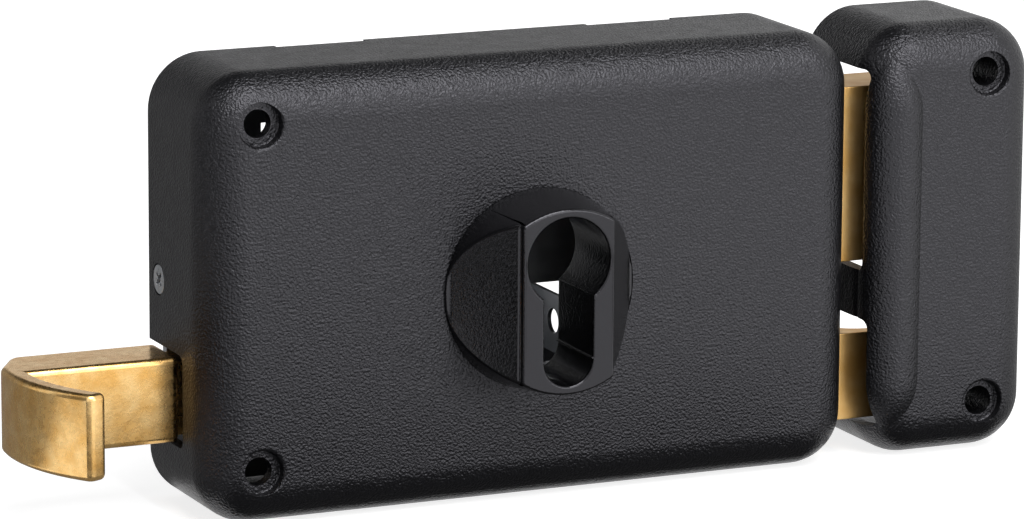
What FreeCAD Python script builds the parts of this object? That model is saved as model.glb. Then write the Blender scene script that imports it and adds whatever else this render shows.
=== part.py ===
import FreeCAD, Part
import math
import os

import Sketcher

# Rim lock with a pull handle, a dead bolt, a latch bolt and its strike box.
# X runs along the lock towards the bolts, the front faces -Y, Z is up.
# The origin is the axis of the profile cylinder, in the plane of the door's face (y = 0).

doc = FreeCAD.newDocument("rim_lock")
sheet = doc.addObject("Spreadsheet::Sheet", "sizes")
Vector = FreeCAD.Vector


class Size:
    """A length that carries both its number and its formula in the sheet."""

    def __init__(self, value, formula):
        self.value = float(value)
        self.formula = formula

    def _join(self, other, sign, value):
        return Size(value, "(%s %s %s)" % (self.formula, sign, size_of(other).formula))

    def __add__(self, other):
        return self._join(other, "+", self.value + size_of(other).value)

    def __radd__(self, other):
        return size_of(other) + self

    def __sub__(self, other):
        return self._join(other, "-", self.value - size_of(other).value)

    def __rsub__(self, other):
        return size_of(other) - self

    def __mul__(self, other):
        return self._join(other, "*", self.value * size_of(other).value)

    def __rmul__(self, other):
        return size_of(other) * self

    def __truediv__(self, other):
        return self._join(other, "/", self.value / size_of(other).value)

    def __neg__(self):
        return Size(-self.value, "(0 - %s)" % self.formula)

    def root(self):
        return Size(math.sqrt(self.value), "sqrt(%s)" % self.formula)


def size_of(value):
    return value if isinstance(value, Size) else Size(value, repr(float(value)))


def dimension(name, value, note):
    """One driving dimension: a row of the sheet with an alias, a number and what it means."""
    dimension.row += 1
    row = str(dimension.row)
    sheet.set("A" + row, name)
    sheet.set("B" + row, str(value))
    sheet.set("C" + row, note)
    sheet.setAlias("B" + row, name)
    return Size(value, "sizes." + name)


dimension.row = 0

case_width = dimension("case_width", 140, "case along X")
case_height = dimension("case_height", 89, "case along Z")
case_depth = dimension("case_depth", 31.5, "door face to the front of the case")
backset = dimension("backset", 70.4, "cylinder axis to the case's bolt side")
axis_from_top = dimension("axis_from_top", 38, "cylinder axis below the case's top")
wall = dimension("wall", 2.5, "thickness of the cast covers")
corner_radius = dimension("corner_radius", 11, "outline corners of case and strike")
edge_radius = dimension("edge_radius", 9, "rounding round the front face")
rim_notch_length = dimension("rim_notch_length", 19, "shallow notches in the rear rim")
rim_notch_depth = dimension("rim_notch_depth", 1.5, "depth of these notches")
rim_notch_offset = dimension("rim_notch_offset", 33.6, "their middles from the cylinder axis")
screw_inset = dimension("screw_inset", 11.3, "case screw holes from the left side")
screw_below_top = dimension("screw_below_top", 9.4, "upper case screw hole")
screw_above_bottom = dimension("screw_above_bottom", 11.2, "lower case screw hole")
screw_boss = dimension("screw_boss", 12, "diameter of the boss behind a counterbore")
boss_drop = dimension("boss_drop", 2.4, "how far the boss stands in from the front wall")
screw_hole = dimension("screw_hole", 5.6, "diameter of the screw holes")
recess_diameter = dimension("recess_diameter", 8.8, "counterbore of the screw holes")
recess_depth = dimension("recess_depth", 2.3, "depth of the counterbore")
recess_edge = dimension("recess_edge", 0.8, "rounding at its mouth")
profile_diameter = dimension("profile_diameter", 17.5, "round part of the cylinder hole")
profile_slot = dimension("profile_slot", 10.5, "width of its slot")
profile_height = dimension("profile_height", 33.4, "overall height of the hole")
collar_base = dimension("collar_base", 40.4, "collar diameter on the case")
collar_front = dimension("collar_front", 36.8, "collar diameter at its front")
collar_height = dimension("collar_height", 14.4, "how far the collar stands out")
collar_face = dimension("collar_face", 19.5, "width of its flat front")
collar_land = dimension("collar_land", 1.6, "straight flank behind the flat front")
spigot_diameter = dimension("spigot_diameter", 36.4, "collar part inside the case wall")
plate_stock = dimension("plate_stock", 2, "thickness of the back plate")
tail_stock = dimension("tail_stock", 2.5, "thickness of the bolt and latch plates")
tail_depth = dimension("tail_depth", 15, "door face to the middle of these plates")
side_play = dimension("side_play", 0.3, "clearance of sliding faces, each side")
bolt_height = dimension("bolt_height", 36, "dead bolt along Z")
bolt_middle = dimension("bolt_middle", 7.4, "its middle above the axis")
bolt_thickness = dimension("bolt_thickness", 14, "dead bolt along Y")
bolt_front = dimension("bolt_front", 22, "door face to the front of both bolts")
bolt_reach = dimension("bolt_reach", 22, "dead bolt beyond the case, thrown")
bolt_throw = dimension("bolt_throw", 21.5, "its travel in two turns of the key")
bolt_length = dimension("bolt_length", 46.5, "dead bolt along X")
latch_height = dimension("latch_height", 18, "latch bolt along Z")
latch_above_bottom = dimension("latch_above_bottom", 7.4, "latch bolt above the case's bottom")
latch_thickness = dimension("latch_thickness", 13, "latch bolt along Y")
latch_reach = dimension("latch_reach", 14.3, "latch beyond the case, at rest")
latch_travel = dimension("latch_travel", 14, "how far the pull draws it back")
latch_length = dimension("latch_length", 44.3, "latch bolt along X")
latch_tongue = dimension("latch_tongue", 3, "thickness of its tip")
joint_overlap = dimension("joint_overlap", 16, "plate held in the slot of a bolt")
rivet_diameter = dimension("rivet_diameter", 5, "rivets through both bolts")
post_diameter = dimension("post_diameter", 6, "guide posts in their slots")
post_head = dimension("post_head", 8.6, "heads and shoulders of the posts")
stem_diameter = dimension("stem_diameter", 4, "riveted stems of the posts")
pull_height = dimension("pull_height", 17, "pull handle along Z")
pull_above_bottom = dimension("pull_above_bottom", 14.7, "pull above the case's bottom")
pull_front = dimension("pull_front", 15, "door face to the front of its bar")
pull_rear = dimension("pull_rear", 1.4, "door face to the rear of its bar")
hook_radius = dimension("hook_radius", 37.6, "outer curve of the hook in plan")
hook_stock = dimension("hook_stock", 4.3, "thickness of the hook")
hook_reach = dimension("hook_reach", 38.5, "door face to the hook's tip")
strike_gap = dimension("strike_gap", 3.9, "between case and strike")
strike_width = dimension("strike_width", 37.7, "strike along X")
strike_face = dimension("strike_face", 31, "door face to the strike's flat front")
strike_bead = dimension("strike_bead", 6.5, "radius of the bead along its left edge")
bead_rise = dimension("bead_rise", 1.6, "bead above the flat front")
strike_screw_below_top = dimension("strike_screw_below_top", 10.15, "its upper screw hole")
strike_screw_above_bottom = dimension("strike_screw_above_bottom", 10.45, "its lower screw hole")
strike_hole_inset = dimension("strike_hole_inset", 11.6, "its screw holes from its right side")
strike_hole = dimension("strike_hole", 6, "diameter of its screw holes")
strike_notch_below = dimension("strike_notch_below", 1.3, "strike's notch below the dead bolt")
strike_notch_above = dimension("strike_notch_above", 3.9, "and above it")
strike_notch_depth = dimension("strike_notch_depth", 26.4, "door face to its front end")
latch_notch_below = dimension("latch_notch_below", 0.6, "strike's notch below the latch bolt")
latch_notch_above = dimension("latch_notch_above", 3.8, "and above it")
latch_notch_depth = dimension("latch_notch_depth", 28.3, "door face to its front end")
bead_end = dimension("bead_end", 16, "straight part of the bead from either end of the strike")
bead_bow = dimension("bead_bow", 12, "length of its tapered ends")
bead_thinner = dimension("bead_thinner", 3.7, "how much its radius falls over them")
slot_corner = dimension("slot_corner", 1.8, "corners of the slots in the side walls")
pull_play = dimension("pull_play", 0.8, "pull to the ends of its slot")
pull_clear = dimension("pull_clear", 3, "pull to the front of its slot")
bolt_play = dimension("bolt_play", 0.5, "bolts to the ends of their slots")
bolt_clear = dimension("bolt_clear", 0.6, "bolts to the front of their slots")
spigot_play = dimension("spigot_play", 0.2, "collar's spigot in its hole, across")
collar_rim = dimension("collar_rim", 0.8, "rounding round the collar's front")
mouth_rim = dimension("mouth_rim", 0.4, "rounding round the cylinder hole")
tip_bevel = dimension("tip_bevel", 0.8, "bevel round the dead bolt's tip")
side_head = dimension("side_head", 6.1, "head diameter of the side screws")
side_shank = dimension("side_shank", 3.1, "their shank")
side_rim = dimension("side_rim", 0.25, "straight edge of their heads")
side_cone = dimension("side_cone", 1.5, "height of their cones")
side_sunk = dimension("side_sunk", 0.1, "how deep the heads lie, and their play")
side_length = dimension("side_length", 7, "side of the case to the end of a side screw")
left_screw_drop = dimension("left_screw_drop", 5.7, "left side screw below the axis")
left_screw_depth = dimension("left_screw_depth", 5.1, "its distance from the door's face")
right_screw_depth = dimension("right_screw_depth", 12, "right side screw from the door's face")
cross_length = dimension("cross_length", 3.4, "cross recess of the side screws")
cross_width = dimension("cross_width", 0.9, "width of its arms")
cross_depth = dimension("cross_depth", 1.2, "depth of the recess")
cam_lug = dimension("cam_lug", 12, "thin lug beside the cylinder, right of the axis")
cam_lug_stock = dimension("cam_lug_stock", 0.8, "its thickness")
cam_lug_drop = dimension("cam_lug_drop", 14, "its top below the axis")
cam_lug_height = dimension("cam_lug_height", 12, "its size along Z")
cam_lug_reach = dimension("cam_lug_reach", 17, "door face to its end")
cam_lug_window = dimension("cam_lug_window", 15.2, "window that it is folded out of")
cam_lug_hole = dimension("cam_lug_hole", 5.1, "hole in it")
cam_hole_drop = dimension("cam_hole_drop", 19.6, "this hole below the axis")
cam_hole_depth = dimension("cam_hole_depth", 12.3, "its distance from the door's face")
stop_lug = dimension("stop_lug", 30, "left end of the lug above the lever, left of the axis")
stop_lug_low = dimension("stop_lug_low", 10, "its lower edge above the axis")
stop_lug_height = dimension("stop_lug_height", 13.2, "its size along Z")
stop_lug_reach = dimension("stop_lug_reach", 10, "door face to its end")
stop_lug_window = dimension("stop_lug_window", 16.7, "window that it is folded out of")
spring_lug = dimension("spring_lug", 8, "lug for the latch spring, right of the axis")
spring_lug_below = dimension("spring_lug_below", 5.4, "its lower edge below the spring")
spring_lug_height = dimension("spring_lug_height", 11, "its size along Z")
spring_lug_reach = dimension("spring_lug_reach", 12.5, "door face to its end")
spring_lug_window = dimension("spring_lug_window", 12, "window that it is folded out of")
side_lug_low = dimension("side_lug_low", 12, "lower edge of the left side's lug below the axis")
side_lug_height = dimension("side_lug_height", 13, "its size along Z")
side_lug_reach = dimension("side_lug_reach", 9, "door face to its end")
flange_inset = dimension("flange_inset", 5, "right flange behind the inside of the front wall")
profile_margin = dimension("profile_margin", 0.25, "plate's opening round the cylinder")
clamp_stock = dimension("clamp_stock", 1.5, "thickness of the clamp ring")
clamp_edge = dimension("clamp_edge", 8, "clamp ring larger than the spigot, across")
clamp_margin = dimension("clamp_margin", 1, "its opening round the cylinder")
collar_screw_offset = dimension("collar_screw_offset", 13.2, "collar screws either side of the axis")
collar_screw_thread = dimension("collar_screw_thread", 2.5, "their thread")
collar_screw_neck = dimension("collar_screw_neck", 3, "their neck in the clamp ring")
collar_screw_head = dimension("collar_screw_head", 5, "their heads")
collar_screw_length = dimension("collar_screw_length", 5.5, "their thread's length in the collar")
collar_screw_rise = dimension("collar_screw_rise", 1.8, "height of their heads")
plate_tail = dimension("plate_tail", 65.9, "bolt plate's end left of its shoulder")
plate_lift = dimension("plate_lift", 4.1, "bolt plate's arm above the bolt's upper half")
shoulder_step = dimension("shoulder_step", 2, "bolt plate's shoulder left of the bolt and in its height")
throat_first = dimension("throat_first", 9, "throat for the cam right of the axis")
throat_mouth = dimension("throat_mouth", 8.8, "its width at the open end")
throat_floor = dimension("throat_floor", 6.8, "its width at the closed end")
throat_depth = dimension("throat_depth", 6, "its depth")
notch_row = dimension("notch_row", 8.4, "last notch left of the shoulder")
notch_floor = dimension("notch_floor", 3.6, "width of a notch at its floor")
notch_mouth = dimension("notch_mouth", 5.8, "its width beyond the edge")
notch_depth = dimension("notch_depth", 3, "its depth")
plate_corner = dimension("plate_corner", 1.5, "corners of the plates' free ends")
post_play = dimension("post_play", 0.15, "post in its slot, each side")
bolt_post_inset = dimension("bolt_post_inset", 8.2, "guide post from the bolt plate's end")
bolt_post_drop = dimension("bolt_post_drop", 5.1, "guide post below the bolt plate's top")
tumbler_strip = dimension("tumbler_strip", 0.8, "thickness of the tumbler's blade")
tumbler_foot_stock = dimension("tumbler_foot_stock", 1, "thickness of its foot")
tumbler_foot_width = dimension("tumbler_foot_width", 14, "its foot along X")
tumbler_foot_height = dimension("tumbler_foot_height", 5.6, "its foot along Z, blade included")
tumbler_rise = dimension("tumbler_rise", 4.1, "top of its foot above the bolt plate")
tumbler_length = dimension("tumbler_length", 56, "its nose from the foot's left end")
tumbler_play = dimension("tumbler_play", 0.4, "its blade above the bolt plate")
nose_depth = dimension("nose_depth", 2.5, "how far its nose drops into a notch")
nose_tip = dimension("nose_tip", 2.4, "width of the nose at its tip")
nose_root = dimension("nose_root", 4.8, "and at its root")
nose_landing = dimension("nose_landing", 8, "level part of the blade left of the nose")
tab_width = dimension("tab_width", 8, "tail that the cam lifts, at its lower end")
tab_root = dimension("tab_root", 11, "and at the blade")
tab_low = dimension("tab_low", 3.1, "its lower end above the bolt plate's lower edge")
tumbler_rivet = dimension("tumbler_rivet", 3, "diameter of its rivets")
tumbler_rivet_head = dimension("tumbler_rivet_head", 4.4, "their heads")
tumbler_rivet_rise = dimension("tumbler_rivet_rise", 1.1, "height of their heads")
ramp_gap = dimension("ramp_gap", 0.5, "foot of the latch ramp from the case")
tongue_taper = dimension("tongue_taper", 0.4, "how much thinner the tongue is at its tip")
slide_drop = dimension("slide_drop", 1.8, "latch slide's upper edge below the bolt's")
slide_rise = dimension("slide_rise", 0.4, "its lower edge above the bolt's")
slide_tail = dimension("slide_tail", 22, "its left end left of the lever's pivot")
slide_narrow = dimension("slide_narrow", 11.5, "length of its narrow left end")
ear_place = dimension("ear_place", 34, "its ear for the spring, right of the axis")
ear_height = dimension("ear_height", 10.8, "ear along Z")
ear_depth = dimension("ear_depth", 4, "door face to the ear")
latch_post_left = dimension("latch_post_left", 17, "latch guide post left of the axis")
latch_post_drop = dimension("latch_post_drop", 3.8, "and below the latch's middle")
pull_rivet_inset = dimension("pull_rivet_inset", 4.5, "first pull rivet from the slide's end")
pull_rivet_pitch = dimension("pull_rivet_pitch", 7, "between the two pull rivets")
pull_rivet_lift = dimension("pull_rivet_lift", 4.1, "above the pull's lower edge")
pull_rivet_head = dimension("pull_rivet_head", 8, "their heads")
pull_rivet_rise = dimension("pull_rivet_rise", 1.2, "height of their heads")
pull_tongue = dimension("pull_tongue", 16, "pull's tongue behind the slide")
pull_tongue_rear = dimension("pull_tongue_rear", 4, "door face to the tongue's rear")
hook_centre = dimension("hook_centre", 3.1, "centre of the hook's curve inside the case's side")
hook_bevel = dimension("hook_bevel", 1.7, "slant of the hook's tip")
hook_edge = dimension("hook_edge", 1, "rounding of the pull's long edges")
hook_tip_edge = dimension("hook_tip_edge", 1.2, "rounding of its tip")
heel_depth = dimension("heel_depth", 9, "door face to the end of the hook's curve")
heel_width = dimension("heel_width", 4.5, "slanted heel along X")
heel_edge = dimension("heel_edge", 3.5, "rounding of the heel")
lever_left = dimension("lever_left", 30, "lever pivot left of the axis")
lever_drop = dimension("lever_drop", 10, "lever pivot below the axis")
lever_rear = dimension("lever_rear", 10.2, "door face to the lever")
lever_stock = dimension("lever_stock", 2, "thickness of the lever")
lever_shoulder = dimension("lever_shoulder", 10, "shoulder of its pivot")
lever_head = dimension("lever_head", 9, "head of its pivot")
lever_corner = dimension("lever_corner", 1.2, "corners of its arms")
stud_drop = dimension("stud_drop", 3.6, "slide's stud below the slide's upper edge")
stud_play = dimension("stud_play", 0.2, "stud in the lever's slot, each side")
thin_play = dimension("thin_play", 0.2, "plates on their posts, front and rear")
spring_depth = dimension("spring_depth", 8, "door face to the latch spring's axis")
spring_wire = dimension("spring_wire", 1, "wire of the latch spring")
spring_radius = dimension("spring_radius", 3.6, "radius of its turns")
spring_turns = dimension("spring_turns", 9, "number of turns")
rod_start = dimension("rod_start", 3, "left end of the spring rod, right of the axis")
rod_head = dimension("rod_head", 5.5, "its riveted head")
rod_play = dimension("rod_play", 0.6, "rod in the lug's hole, across")
overlap = dimension("overlap", 0.5, "how far joined forms run into each other")
beyond = dimension("beyond", 1, "how far cuts start outside the solid")

right = backset
left = right - case_width
top = axis_from_top
bottom = top - case_height
depth = case_depth
floor_depth = depth - wall
profile_bottom = profile_diameter / 2 - profile_height
collar_middle = (profile_diameter / 2 + profile_bottom) / 2
tail_front = tail_depth + tail_stock / 2
tail_rear = tail_depth - tail_stock / 2
screw_heights = (top - screw_below_top, bottom + screw_above_bottom)
strike_screw_heights = (top - strike_screw_below_top, bottom + strike_screw_above_bottom)
bolt_tip = right + bolt_reach
bolt_left = bolt_tip - bolt_length
bolt_top = bolt_middle + bolt_height / 2
bolt_bottom = bolt_middle - bolt_height / 2
latch_tip = right + latch_reach
latch_left = latch_tip - latch_length
latch_bottom = bottom + latch_above_bottom
latch_middle = latch_bottom + latch_height / 2
latch_top = latch_bottom + latch_height
latch_rear = bolt_front - latch_thickness
bolt_rear = bolt_front - bolt_thickness
pull_bottom = bottom + pull_above_bottom
pull_top = pull_bottom + pull_height
strike_left = right + strike_gap
strike_right = strike_left + strike_width
shoulder = bolt_left - shoulder_step
plate_left = shoulder - plate_tail
plate_low = bolt_middle + plate_lift
plate_top = bolt_top + plate_lift
notch_places = tuple(shoulder - notch_row - bolt_throw * share for share in (1, 0.5, 0))
throat_places = (throat_first, throat_first + bolt_throw / 2)
bolt_post = (plate_left + bolt_post_inset, plate_top - bolt_post_drop)
latch_post = (-latch_post_left, latch_middle - latch_post_drop)
lever_pivot = (-lever_left, -lever_drop)
slide_left = lever_pivot[0] - slide_tail
slide_top = latch_top - slide_drop
slide_low = latch_bottom + slide_rise
stud_height = slide_top - stud_drop
stud_place = lever_pivot[0] + latch_travel / 2
lever_arm = lever_pivot[1] - stud_height
lever_front = lever_rear + lever_stock
foot_left = notch_places[0] - tumbler_length
foot_top = plate_top + tumbler_rise
foot_low = foot_top - tumbler_foot_height
tumbler_rivet_height = (foot_low + foot_top - tumbler_strip) / 2

SUB_PARTS = []


def bind(thing, prop, size):
    """Set a property from the sheet."""
    thing.setExpression(prop, size_of(size).formula)


def new_body(label):
    body = doc.addObject("PartDesign::Body", label + "_body")
    body.Label = label
    SUB_PARTS.append(body)
    return body


def new_sketch(body, plane, offset=0):
    """A sketch on one of the body's origin planes, moved along the plane's normal."""
    sketch = body.newObject("Sketcher::SketchObject", body.Name + "_sketch")
    support = next(f for f in body.Origin.OriginFeatures if f.Role == plane)
    sketch.AttachmentSupport = (support, [""])
    sketch.MapMode = "FlatFace"
    sketch.AttachmentOffset = FreeCAD.Placement(Vector(0, 0, size_of(offset).value), FreeCAD.Rotation())
    bind(sketch, "AttachmentOffset.Base.z", offset)
    return sketch


def constrain(sketch, kind, place, size):
    number = sketch.addConstraint(Sketcher.Constraint(kind, *place, size_of(size).value))
    bind(sketch, "Constraints[%d]" % number, size)


def pin(sketch, item, point, x, y):
    """Fix a point of the sketch at (x, y) from its origin."""
    constrain(sketch, "DistanceX", (-1, 1, item, point), x)
    constrain(sketch, "DistanceY", (-1, 1, item, point), y)


def outline(sketch, points, arcs=None):
    """A closed outline through points. arcs names, by the point that they start from, round
    stretches: (centre x, centre y, the pinned axis of the centre, True when clockwise)."""
    arcs = arcs or {}
    start = sketch.GeometryCount
    corners = [Vector(size_of(x).value, size_of(y).value, 0) for x, y in points]
    ends = []
    for i, (a, b) in enumerate(zip(corners, corners[1:] + corners[:1])):
        if i not in arcs:
            ends.append((sketch.addGeometry(Part.LineSegment(a, b), False), 1, 2))
            continue
        cx, cy, _, clockwise = arcs[i]
        centre = Vector(size_of(cx).value, size_of(cy).value, 0)
        first, last = (b, a) if clockwise else (a, b)
        angles = [math.atan2(p.y - centre.y, p.x - centre.x) for p in (first, last)]
        circle = Part.Circle(centre, Vector(0, 0, 1), a.distanceToPoint(centre))
        item = sketch.addGeometry(Part.ArcOfCircle(circle, *angles), False)
        ends.append((item, 2, 1) if clockwise else (item, 1, 2))
    for (item, _, last), (following, first, _) in zip(ends, ends[1:] + ends[:1]):
        sketch.addConstraint(Sketcher.Constraint("Coincident", item, last, following, first))
    for (item, first, _), (x, y) in zip(ends, points):
        pin(sketch, item, first, x, y)
    for i, (cx, cy, axis, _) in arcs.items():
        if axis == "x":
            constrain(sketch, "DistanceX", (-1, 1, start + i, 3), cx)
        else:
            constrain(sketch, "DistanceY", (-1, 1, start + i, 3), cy)


def rectangle(sketch, x0, x1, y0, y1):
    outline(sketch, [(x0, y0), (x1, y0), (x1, y1), (x0, y1)])


def circle(sketch, x, y, diameter):
    centre = Vector(size_of(x).value, size_of(y).value, 0)
    item = sketch.addGeometry(Part.Circle(centre, Vector(0, 0, 1), size_of(diameter).value / 2), False)
    pin(sketch, item, 3, x, y)
    constrain(sketch, "Diameter", (item,), diameter)


def slot_outline(sketch, x0, x1, y, width):
    """A slot along the sketch's x between two end centres."""
    half = size_of(width) / 2
    points = [(x0, y - half), (x1, y - half), (x1, y + half), (x0, y + half)]
    outline(sketch, points, {1: (x1, y, "x", False), 3: (x0, y, "x", False)})


def solid_feature(body, kind, sketch, length, reversed_way=False):
    """A pad or pocket of a sketch. The solid must really grow or shrink."""
    before = body.Shape.Volume if body.Tip else 0.0
    feature = body.newObject("PartDesign::" + kind, body.Name + "_" + kind.lower())
    feature.Profile = sketch
    feature.Length = size_of(length).value
    bind(feature, "Length", length)
    feature.Reversed = reversed_way
    doc.recompute()
    change = feature.Shape.Volume - before
    if (change > 0) != (kind == "Pad") or abs(change) < 0.01:
        raise ValueError("%s of %s changes the volume by %.3f" % (kind, body.Label, change))
    return feature


def pad(body, sketch, length):
    return solid_feature(body, "Pad", sketch, length)


def pocket(body, sketch, length, **how):
    return solid_feature(body, "Pocket", sketch, length, **how)


def hole(body, start, x, z, diameter, length):
    """A round hole along Y, cut towards the door from a distance in front of it."""
    sketch = new_sketch(body, "XZ_Plane", start)
    circle(sketch, x, z, diameter)
    return pocket(body, sketch, length)


def plate_hole(body, x, z, diameter):
    """A round hole through one of the bolts' plates."""
    return hole(body, tail_front + beyond, x, z, diameter, tail_stock + 2 * beyond)


def edges_where(shape, test):
    return ["Edge%d" % (i + 1) for i, edge in enumerate(shape.Edges) if test(edge)]


def dress(body, kind, prop, size, test):
    """A fillet or chamfer on the edges of the body's last feature that pass the test."""
    base = body.Tip
    names = edges_where(base.Shape, test)
    if not names:
        raise ValueError("no edge of %s takes the %s" % (body.Label, kind))
    feature = body.newObject("PartDesign::" + kind, body.Name + "_" + kind.lower())
    feature.Base = (base, names)
    bind(feature, prop, size)
    doc.recompute()
    return feature


def fillet(body, radius, test):
    return dress(body, "Fillet", "Radius", radius, test)


def chamfer(body, size, test):
    return dress(body, "Chamfer", "Size", size, test)


def straight(edge, axis):
    """Whether a straight edge runs along an axis, 0, 1 or 2."""
    if edge.Curve.TypeId != "Part::GeomLine":
        return False
    return abs(abs(edge.tangentAt(edge.FirstParameter)[axis]) - 1) < 1e-6


def lies(edge, axis, size):
    """Whether an edge lies flat in the plane across an axis at a size."""
    box = edge.BoundBox
    low, high = ((box.XMin, box.XMax), (box.YMin, box.YMax), (box.ZMin, box.ZMax))[axis]
    value = size_of(size).value
    return abs(low - value) < 1e-4 and abs(high - value) < 1e-4


def beside(value, size, margin=0.01):
    return abs(value - size_of(size).value) < margin


def round_hole_mouth(edge, x, z, radius, forward):
    """Whether an edge runs round a hole along Y, wholly farther forward than a distance."""
    if edge.BoundBox.YMax > -size_of(forward).value:
        return False
    middle = (edge.FirstParameter + edge.LastParameter) / 2
    points = [edge.valueAt(edge.FirstParameter), edge.valueAt(middle)]
    across = [math.hypot(p.x - size_of(x).value, p.z - size_of(z).value) for p in points]
    return all(beside(distance, radius) for distance in across)


def revolve(body, sketch, axis, groove=False):
    kind = "Groove" if groove else "Revolution"
    feature = body.newObject("PartDesign::" + kind, body.Name + "_" + kind.lower())
    feature.Profile = sketch
    feature.ReferenceAxis = (sketch, [axis])
    feature.Angle = 360
    doc.recompute()
    return feature


def turned(label, axis, centre, steps):
    """A turned piece as a revolved profile. steps are (position along the axis, diameter) pairs from
    one end to the other, axis is "X" or "Y" and centre the piece's two other coordinates."""
    body = new_body(label)
    across, height = centre
    sketch = new_sketch(body, "XY_Plane", height)
    bind(sketch, "AttachmentOffset.Base." + ("y" if axis == "X" else "x"), across)
    line = [(steps[0][0], 0)] + [(s, size_of(d) / 2) for s, d in steps] + [(steps[-1][0], 0)]
    if axis == "Y":
        line = [(r, s) for s, r in line]
    outline(sketch, line)
    revolve(body, sketch, "H_Axis" if axis == "X" else "V_Axis")
    return body


def copies(label, body, offsets):
    """Identical pieces in one node, as separate solids: the body and its copies at the offsets."""
    SUB_PARTS.remove(body)
    body.Label = label + "_first"
    pieces = []
    for number, offset in enumerate(offsets):
        link = doc.addObject("App::Link", "%s_copy_%d" % (label, number))
        link.LinkedObject = body
        for axis, part in zip("xyz", offset):
            bind(link, "LinkPlacement.Base." + axis, part)
        pieces.append(link)
    group = doc.addObject("Part::Compound", label + "_group")
    group.Links = pieces
    group.Label = label
    SUB_PARTS.append(group)
    doc.recompute()
    return group


def profile_outline(sketch, grown):
    """The cylinder's profile: a circle with a round-ended slot below it, grown all round."""
    radius = profile_diameter / 2 + grown
    half = profile_slot / 2 + grown
    junction = -(radius * radius - half * half).root()
    low = profile_bottom + profile_slot / 2
    points = [(half, junction), (-half, junction), (-half, low), (half, low)]
    outline(sketch, points, {0: (0, 0, "y", False), 2: (0, low, "y", False)})


def hollow(body):
    """Turn the body's block into a shell of one wall thickness, open at the door's face."""
    block = body.Tip
    faces = enumerate(block.Shape.Faces)
    rear = next("Face%d" % (i + 1) for i, face in faces if abs(face.BoundBox.YMin) < 1e-4)
    shell = body.newObject("PartDesign::Thickness", body.Name + "_shell")
    shell.Base = (block, [rear])
    bind(shell, "Value", wall)
    shell.Reversed = True
    doc.recompute()


def rear_slot(body, x, low, high, reach, length):
    """A slot through a side wall, open at the door's face, with rounded front corners. It is cut
    from x a length to the left."""
    sketch = new_sketch(body, "YZ_Plane", x)
    bend = slot_corner - reach
    inner = (low + slot_corner, high - slot_corner)
    points = [(0, low), (0, high), (bend, high), (-reach, inner[1]), (-reach, inner[0]), (bend, low)]
    outline(sketch, points, {2: (bend, inner[1], "x", False), 4: (bend, inner[0], "x", False)})
    pocket(body, sketch, length)


def counterbore(body, x, z, front, bore, length):
    """A counterbored screw hole with a rounded mouth, from a front face towards the door."""
    hole(body, front, x, z, recess_diameter, recess_depth)
    radius = recess_diameter / 2
    fillet(body, recess_edge, lambda e: round_hole_mouth(e, x, z, radius, front - recess_depth + beyond / 2))
    hole(body, front, x, z, bore, length)


def build_case_cover():
    """The cast cover: a box open at the rear, with rounded front edges and all its openings."""
    body = new_body("case_cover")
    sketch = new_sketch(body, "XZ_Plane")
    rectangle(sketch, left, right, bottom, top)
    pad(body, sketch, depth)
    fillet(body, corner_radius, lambda e: straight(e, 1))
    fillet(body, edge_radius, lambda e: lies(e, 1, -depth))
    hollow(body)
    column = left + screw_inset
    for height in screw_heights:
        sketch = new_sketch(body, "XZ_Plane", floor_depth - boss_drop)
        circle(sketch, column, height, screw_boss)
        pad(body, sketch, boss_drop + overlap)
        counterbore(body, column, height, depth, screw_hole, wall + boss_drop + 2 * beyond)
    hole(body, depth, 0, collar_middle, spigot_diameter + spigot_play, wall + beyond)
    cut = wall + 2 * beyond
    low, high = pull_bottom - pull_play, pull_top + pull_play
    rear_slot(body, left + wall + beyond, low, high, pull_front + pull_clear, cut)
    for low, high in ((bolt_bottom, bolt_top), (latch_bottom, latch_top)):
        rear_slot(body, right + beyond, low - bolt_play, high + bolt_play, bolt_front + bolt_clear, cut)
    for side in (-1, 1):
        low = side * rim_notch_offset - rim_notch_length / 2
        sketch = new_sketch(body, "XZ_Plane")
        rectangle(sketch, low, low + rim_notch_length, top - wall - beyond, top + beyond)
        pocket(body, sketch, rim_notch_depth, reversed_way=True)
    for side, inward, height, forward in side_screw_places():
        sketch = new_sketch(body, "XY_Plane", height)
        bind(sketch, "AttachmentOffset.Base.y", -forward)
        head = side_head / 2 + side_sunk
        shank = side_shank / 2 + side_sunk
        rim = side + (2 * side_sunk + side_rim) * inward
        foot = rim + side_cone * inward
        inner = side + (wall + 2 * beyond) * inward
        points = [(side - inward * beyond, 0), (side - inward * beyond, head), (rim, head), (foot, shank)]
        outline(sketch, points + [(inner, shank), (inner, 0)])
        revolve(body, sketch, "H_Axis", groove=True)
    return body


def side_screw_places():
    """The countersunk screws in the case's sides: side, way in, height and distance from the door."""
    between_bolts = (bolt_bottom + latch_top) / 2
    return [(left, 1, -left_screw_drop, left_screw_depth), (right, -1, between_bolts, right_screw_depth)]


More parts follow.
